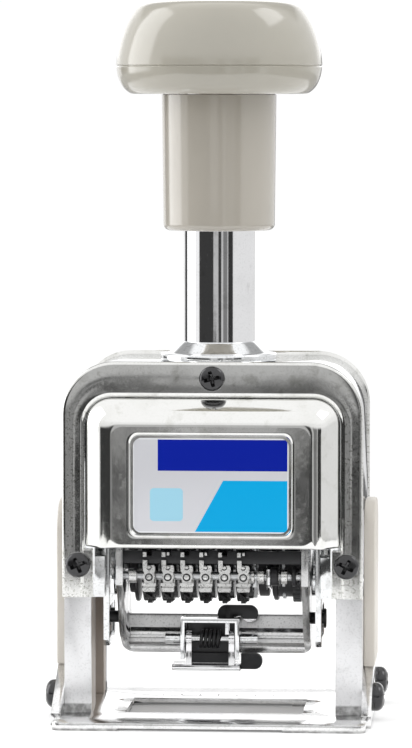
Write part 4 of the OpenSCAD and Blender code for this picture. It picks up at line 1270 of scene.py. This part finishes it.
@dataclass
class TypeWheels:
    """The six number wheels: a drum, a notched detent ring and ten blocks with mirrored digits."""

    first_x: float = -15.7
    pitch: float = 4.41
    axle_z: float = 34.5
    reach: float = 9.1

    def block(self) -> bpy.types.Object:
        """One tapered type block, standing on the drum towards +Z, about x = 0."""
        levels = ((6.6, 1.45, 2.3), (7.6, 1.45, 2.25), (8.35, 1.4, 2.0), (8.55, 1.25, 1.8))
        rings = [[Vector((x * half_x - 0.45, y * half_y, z)) * MM
                  for x, y in ((-1, -1), (1, -1), (1, 1), (-1, 1))] for z, half_x, half_y in levels]
        return Shape().loft(rings, True, "caps").make("type_block", 0.0, 30)

    def drum(self, name: str) -> bpy.types.Object:
        """The drum and the detent ring with ten notches, about the axle at x = 0.

        Args:
            name: The object's name.

        Returns:
            The drum.
        """
        shape = Shape().lathe([(1.3, -1.95), (6.9, -1.95), (7.1, -1.75), (7.1, 0.95), (1.3, 0.95)],
                              Vector((0, 0, 0)), "X", 60)
        notched = []
        for k in range(120):
            a = 2 * math.pi * k / 120
            off = abs((a + math.pi / 10) % (math.pi / 5) - math.pi / 10)
            r = 8.0 - 0.75 * max(0.0, 1 - (off / 0.09) ** 2)
            notched.append((r, a))
        inner = [(1.3, a) for _, a in notched]
        rings = [[Vector((x, r * math.sin(a), r * math.cos(a))) * MM for r, a in line]
                 for line, x in ((inner, 1.0), (notched, 1.0), (notched, 1.95), (inner, 1.95))]
        shape.loft(rings, True, "join")
        return shape.make(name, 0.0, 30)

    def digit(self, number: int) -> bpy.types.Object:
        """One raised mirrored digit that stands on its block, turned to its place on the wheel.

        Args:
            number: The digit, which also gives its place.

        Returns:
            The digit.
        """
        text = bpy.data.curves.new(f"digit_{number}", "FONT")
        text.body = str(number)
        text.size = 4.2 * MM
        text.extrude = 0.27 * MM
        text.offset = 0.05 * MM
        text.resolution_u = 4
        text.align_x, text.align_y = "CENTER", "CENTER"
        mesh = settle(add_object(text.name, text))
        place_on_block = Matrix.Translation(Vector((-0.45, 0, self.reach - 0.27)) * MM)
        mesh.transform(Matrix.Rotation(number * math.pi / 5, 4, "X") @ place_on_block
                       @ Matrix.Diagonal((-0.8, 1, 1, 1)))
        work = bmesh.new()
        work.from_mesh(mesh)
        bmesh.ops.remove_doubles(work, verts=work.verts, dist=1e-6)
        bmesh.ops.recalc_face_normals(work, faces=work.faces)
        work.to_mesh(mesh)
        work.free()
        return add_object(f"digit_{number}", mesh)

    def build(self) -> None:
        """Build and dress the six wheels."""
        block = self.block()
        ring = Copies(block, Finish.TYPE)
        for k in range(6):
            blocks = ring.grow("type_blocks", seed_points([Vector((0, 0, 0))] * 10), Step=math.pi / 5)
            digits = [self.digit(n) for n in range(10)]
            wheel = join([blocks, self.drum("drum"), *digits], f"type_wheel_{k + 1}")
            wheel.data.transform(Matrix.Translation(place(self.first_x + k * self.pitch, 0, self.axle_z)))
            # The wheels wear the near-black type finish, which paints their shade and dark reflection.
            Trim.fit(wheel, f"wheel_{k + 1}", Finish.TYPE, [f"number_wheel_{k + 1}"])
        bpy.data.objects.remove(block)


@dataclass
class Frame:
    """The rolled crossbar behind the wheels, the repeat selector beside them and the shaft's rings."""

    half: float = 20.85
    middle: float = -0.7
    axle_z: float = 34.5
    shaft_y: float = -11.4
    shaft_z: float = 33.0
    bright_rings: tuple[tuple[float, float, float], ...] = (
        # along the shaft from here to there, then the radius
        (-20.3, -18.3, 1.75), (8.35, 9.2, 1.75), (9.8, 11.5, 1.8), (11.95, 12.2, 3.1), (14.75, 15.0, 3.1),
        (15.3, 16.9, 1.75),
    )
    dark_rings: tuple[tuple[float, float, float], ...] = ((12.9, 14.7, 2.2), (17.9, 18.9, 2.3))

    def crossbar(self) -> None:
        """The crossbar: a matte face with a bright rolled lip along its foot."""
        face = [(7.5, 14.5), (6.6, 14.5), (6.0, 15.2), (6.0, 21.45), (6.25, 21.9), (7.5, 21.9)]
        bar = Shape().plate(face, self.middle - self.half, self.middle + self.half)
        Trim.fit(bar.make("rolled_bar", 0.0, 40), "head", Finish.MATTE, ["crossbar"])
        roll = smooth_curve([(6.05, 18.75), (5.75, 18.45), (5.35, 18.0), (5.1, 17.4), (5.0, 16.8),
                             (5.05, 16.4), (5.3, 16.15), (6.05, 16.1)], 3)
        lip = Shape().plate(roll, self.middle - self.half + 0.1, self.middle + self.half - 0.1)
        Trim.fit(lip.make("rolled_lip", 0.0, 50), "head", Finish.FRAME)

    def round_outline(self, radii: Sequence[float]) -> list[Pair]:
        """An outline round the axle, as depth and height, from its radii at even steps."""
        turns = [(r, 2 * math.pi * k / len(radii)) for k, r in enumerate(radii)]
        return [(r * math.sin(a), self.axle_z + r * math.cos(a)) for r, a in turns]

    def selector(self) -> None:
        """The selector: black dial with a knurled rim, notched plate and plain disc, and a black ring beside
        them.
        """
        inner = place(13.2, 0, self.axle_z)
        knurls = self.round_outline([8.7 - 0.22 * (k % 5 == 0) for k in range(180)])
        notches = (abs(2 * math.pi * k / 96 % (math.pi / 2) - math.pi / 4) < 0.14 for k in range(96))
        cam = self.round_outline([6.4 if notch else 8.0 for notch in notches])
        dial = Shape().plate(knurls, 17.75, 19.55)
        dial.lathe([(5.8, 0.0), (8.1, 0.0), (8.3, 0.2), (8.3, 0.9), (8.1, 1.1), (5.8, 1.1)],
                   inner, "X", 72)
        dial.lathe([(1.3, -0.3), (7.3, -0.3), (7.5, -0.1), (7.5, 4.5), (1.3, 4.5)], inner, "X", 72)
        cams = Shape().plate(cam, 15.3, 16.1)
        Trim.fit(dial.make("selector_discs", 0.0, 35), "selector", Finish.BLACK_STEEL, ["selector_dial"])
        Trim.fit(cams.make("selector_cam", 0.08, 35), "selector", Finish.STEEL)
        ring = Shape().lathe([(5.9, 9.75), (7.2, 9.75), (7.4, 9.95), (7.4, 11.9), (7.2, 12.1), (5.9, 12.1)],
                             place(0, 0, self.axle_z), "X", 72)
        Trim.fit(ring.make("feed_ring", 0.0, 35), "feeder", Finish.BLACK_STEEL)

    def sleeves(self) -> None:
        """The bright sleeves and dark collars on the pawl shaft, at both ends of its row."""
        bright, dark = Shape(), Shape()
        for shape, rings in ((bright, self.bright_rings), (dark, self.dark_rings)):
            for x0, x1, r in rings:
                shape.lathe([(1.0, x0), (r - 0.25, x0), (r, x0 + 0.12), (r, x1 - 0.12), (r - 0.25, x1),
                             (1.0, x1)], place(0, self.shaft_y, self.shaft_z), "X", 36)
        Trim.fit(bright.make("shaft_sleeves", 0.0, 50), "head", Finish.NICKEL)
        Trim.fit(dark.make("shaft_collars", 0.0, 50), "head", Finish.BLACK_STEEL)

    def ends(self) -> None:
        """The black disc that closes the row of wheels at its left, and a black plate behind the lever's
        spring that paints the shade there.
        """
        disc = Shape().lathe([(1.3, -20.75), (6.6, -20.75), (6.8, -20.5), (6.8, -19.4), (8.6, -19.4),
                              (8.8, -19.2), (8.8, -18.7), (8.6, -18.5), (1.3, -18.5)],
                             place(0, 0, self.axle_z), "X", 72)
        Trim.fit(disc.make("closing_disc", 0.0, 35), "head", Finish.BLACK_STEEL, ["end_disc"])
        # Painted shade: a black plate behind the lever's spring, between its prongs.
        shade_plate = Shape().slab((-7.8, 3.0, 12.8), (3.7, 3.9, 20.8))
        Trim.fit(shade_plate.make("lever_web", 0.3), "lever", Finish.BLACK_STEEL)

    def build(self) -> None:
        """Build and dress the crossbar, the selector, the shaft's sleeves and the closing disc."""
        self.crossbar()
        self.selector()
        self.sleeves()
        self.ends()


class Dress:
    """Gives every frame node that stays in view its finish and softened edges."""

    FINISHES: dict[tuple[Finish, float], str] = {
        # a finish with the rounding of its edges in millimetres, and the nodes that wear it
        (Finish.FOOT, 0.35): "base_plate",
        (Finish.SATIN, 0.3): "left_leg right_leg",
        # The slide guides wear the darker copy of the beige plastic, which is painted shade.
        (Finish.GUIDE, 0.2): "left_slide_guide right_slide_guide",
        (Finish.GUARD, 0.5): "left_side_guard right_side_guard",
        (Finish.STEEL, 0.2): "bridge guide_rod spring_plug trunnion_studs",
        (Finish.STEEL, 0.1): "pad_rails wheel_axle pawl_shaft tie_rod",
        (Finish.STEEL, 0.08): "ratchet_wheel",
        (Finish.STEEL, 0.05): "bridge_rivets",
        (Finish.CHROME, 0.15): "housing_body",
        (Finish.CHROME, 0.12): "left_cam_arm right_cam_arm left_trunnion_bracket right_trunnion_bracket"
                               " lever_bracket lever_pin",
        (Finish.CHROME, 0.1): "inner_plate feed_arm",
        (Finish.BLACK_STEEL, 0.15): "ink_tray",
        (Finish.BLACK_STEEL, 0.1): "crank_pins",
        (Finish.BLACK_STEEL, 0.08): "pawl_comb",
        (Finish.FELT, 0.4): "ink_pad",
        (Finish.LABEL, 0.06): "label_plate",
        (Finish.TUBE_CHROME, 0.0): "handle_tube",
        (Finish.FRAME, 0.3): "stirrup",
        (Finish.LEVER, 0.15): "release_lever",
    }

    def build(self) -> None:
        """Dress the frame's nodes that no piece replaces."""
        looks = {name: look for look, names in self.FINISHES.items() for name in names.split()}
        for name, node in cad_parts.items():
            if node.hide_render:
                continue
            finish, width = looks[name]
            node.data.materials.clear()
            node.data.materials.append(Palette.get(finish))
            weld = node.modifiers.new("weld", "WELD")
            weld.merge_threshold = 2e-6
            flat = node.modifiers.new("merge_flats", "DECIMATE")
            flat.decimate_type = "DISSOLVE"
            flat.angle_limit = math.radians(0.8)
            if width:
                add_bevel(node, width, 38.0)
            soft = node.modifiers.new("soften", "NODES")
            soft.node_group = smooth_tree()
            LOG.info("%s dressed in %s", name, finish.name)


def smooth_tree() -> bpy.types.NodeTree:
    """The tree that shades a frame node smooth but for its sharp edges."""
    made = bpy.data.node_groups.get("soft_shading")
    if made:
        return made
    growth = Growth("soft_shading", {})
    bend = growth.node("GeometryNodeInputMeshEdgeAngle")
    sharp = Wire(growth, bend.outputs[0]) > math.radians(32)
    soft = growth.node("GeometryNodeSetShadeSmooth", None,
                       {"Geometry": growth.given[0], "Shade Smooth": True})
    kept = growth.node("GeometryNodeSetShadeSmooth", {"domain": "EDGE"},
                       {"Geometry": soft.outputs[0], "Selection": sharp, "Shade Smooth": False})
    growth.node("NodeGroupOutput", None, {0: kept.outputs[0]})
    return growth.tree


@dataclass
class Studio:
    """Floor, surrounding light and camera."""

    distance: float = 1.0
    azimuth: float = 4.0
    eye_z: float = 0.144
    lens: float = 204.9
    pitch: float = 3.69
    yaw: float = 0.175
    floor_x: float = 0.33
    floor_y: Pair = (-0.30, 0.33)
    # Half sizes of the floor patch under the base that glows less: a painted shadow.
    under_base: Pair = (0.036, 0.029)
    surround: tuple[tuple[float, float, float], ...] = (
        # from this bearing to that one, in degrees right of the camera: brightness
        (-67.0, -18.0, 0.045), (-18.0, -2.0, 0.55), (-2.0, 7.5, 0.045), (7.5, 13.5, 0.6),
        (13.5, 27.0, 0.22), (27.0, 30.0, 0.6), (30.0, 46.0, 0.04), (46.0, 165.0, 0.84),
    )
    behind: tuple[tuple[float, float, float], ...] = ((-144.0, -125.0, 0.10), (165.0, 176.0, 0.15))
    surround_fades: Pair = (0.12, 0.26)
    behind_fades: Pair = (0.03, 0.045)
    band_edge: float = 1.5
    window_edges: Pair = (2.0, 0.03)
    overhead: float = 1.15
    seen_direct: float = 1.02
    windows: tuple[tuple[float, float, float, float, float], ...] = (
        # bearings, then elevations as sines, then the light they add
        (-122.0, -84.0, -0.2, 0.78, 1.9), (72.0, 108.0, 0.60, 0.86, 2.2),
    )

    def floor(self) -> None:
        """Lay the pale floor, which glows a little, and less on a patch under the base that paints its
        shadow.
        """
        half = self.floor_x
        front, back = self.floor_y
        corners = [(-half, front, 0), (half, front, 0), (half, back, 0), (-half, back, 0)]
        mesh = bpy.data.meshes.new("floor")
        mesh.from_pydata(corners, [], [(0, 1, 2, 3)])
        board = add_object("floor", mesh)
        paint = Paint("floor")
        across = abs(paint.axis("X")) < self.under_base[0]
        along = abs(paint.axis("Y")) < self.under_base[1]
        # Less glow under the base paints the shadow seen through the base's opening.
        paint.set(Base_Color=(0.85, 0.85, 0.85, 1.0), Roughness=0.8, Emission_Strength=0.22,
                  Emission_Color=paint.blend(across * along, grey(1.0), grey(0.35)))
        mesh.materials.append(paint.material)

    def card(self, bearing: Wire, z: Wire, streak: Wire) -> Wire:
        """Brightness of the card that stands before the machine, low and left of the camera.

        Args:
            bearing: Degrees right of the camera.
            z: Sine of the elevation.
            streak: Fine streaks from zero to one.

        Returns:
            The brightness.
        """
        left = 1 - bearing.between(-9.8, -9.4)
        middle = bearing.within(-8.95, -7.05, 0.15)
        lowest = 1 - z.between(-0.101, -0.097)
        low = 0.05 + left * 0.20 + middle * (0.44 - lowest * 0.25)
        olive = (1 - bearing.between(-8.7, -7.6)) * z.between(-0.0675, -0.0655)
        return low.under(z.between(-0.0735, -0.070), 0.48 - olive * 0.42) * (streak * 0.3 + 0.85)

    def sky(self) -> None:
        """Surround the machine with soft light, darker on the camera's side."""
        world = bpy.data.worlds.new("studio")
        bpy.context.scene.world = world
        world.use_nodes = True
        graph = Graph(world.node_tree)
        glow = world.node_tree.nodes["Background"]
        way = graph.node("ShaderNodeTexCoord").outputs["Generated"]
        parts = graph.node("ShaderNodeSeparateXYZ", None, {0: way}).outputs
        x, y, z = (Wire(graph, parts[k]) for k in range(3))
        bearing = x.math("ARCTAN2", x, y * -1.0) * (180 / math.pi) - self.azimuth
        aside = abs(bearing)
        streaks = graph.node("ShaderNodeTexNoise", None, {"Vector": way, "Scale": 90.0, "Detail": 2.0})
        streak = Wire(graph, streaks.outputs[0]).between(0.35, 0.65)
        light: Value = 1.0
        for bands, fades in ((self.surround, self.surround_fades), (self.behind, self.behind_fades)):
            for low, high, bright in bands:
                dark = bearing.within(low, high, self.band_edge) * (1 - z.between(*fades))
                light = light - dark * (1 - bright)
        light = light + aside.between(140, 155) * z.between(0.03, 0.05) * 0.5
        ahead = bearing.between(-20, -16) * (1 - bearing.between(-3, 2)) * (1 - z.between(-0.058, -0.05))
        light = light.under(ahead, self.card(bearing, z, streak))
        light = light.under(z.between(0.30, 0.5), self.overhead)
        beneath = (1 - z.between(-0.17, -0.11)) * aside.between(50, 64)
        light = light.under(beneath, streak * 0.2 + 0.30)
        over = z.between(0.38, 0.5) * (1 - z.between(0.74, 0.84)) * aside.between(116, 132)
        light = light.under(over, streak * 0.15 + 0.36)
        side_edge, top_edge = self.window_edges
        for low, high, base, top, more in self.windows:
            light = light + bearing.within(low, high, side_edge) * z.within(base, top, top_edge) * more
        seen = Wire(graph, graph.node("ShaderNodeLightPath").outputs["Is Camera Ray"])
        graph.connect(light.under(seen, self.seen_direct), glow.inputs["Strength"])
        glow.inputs["Color"].default_value = (1, 1, 1, 1)

    def camera(self) -> None:
        """Place the camera."""
        view = bpy.data.cameras.new("view")
        view.lens = self.lens
        view.sensor_width = 36.0
        view.clip_start, view.clip_end = 0.05, 20
        holder = add_object("view", view)
        turn = math.radians(self.azimuth)
        holder.location = (math.sin(turn) * self.distance, AXIS_Y - math.cos(turn) * self.distance,
                           self.eye_z)
        holder.rotation_euler = (math.radians(90 - self.pitch), 0, turn + math.radians(self.yaw))
        bpy.context.scene.camera = holder

    def build(self) -> None:
        """Set the stage and the camera."""
        self.floor()
        self.sky()
        self.camera()
        bpy.context.scene.view_settings.view_transform = "Standard"


def main() -> None:
    """Build every sub-assembly in order, then the stage."""
    logging.basicConfig(level=logging.INFO, format="%(message)s")
    Handle().build()
    Housing().build()
    Screws().build()
    Springs().build()
    Pawls().build()
    TypeWheels().build()
    Frame().build()
    Dress().build()
    Studio().build()


if __name__ == "__main__":
    main()
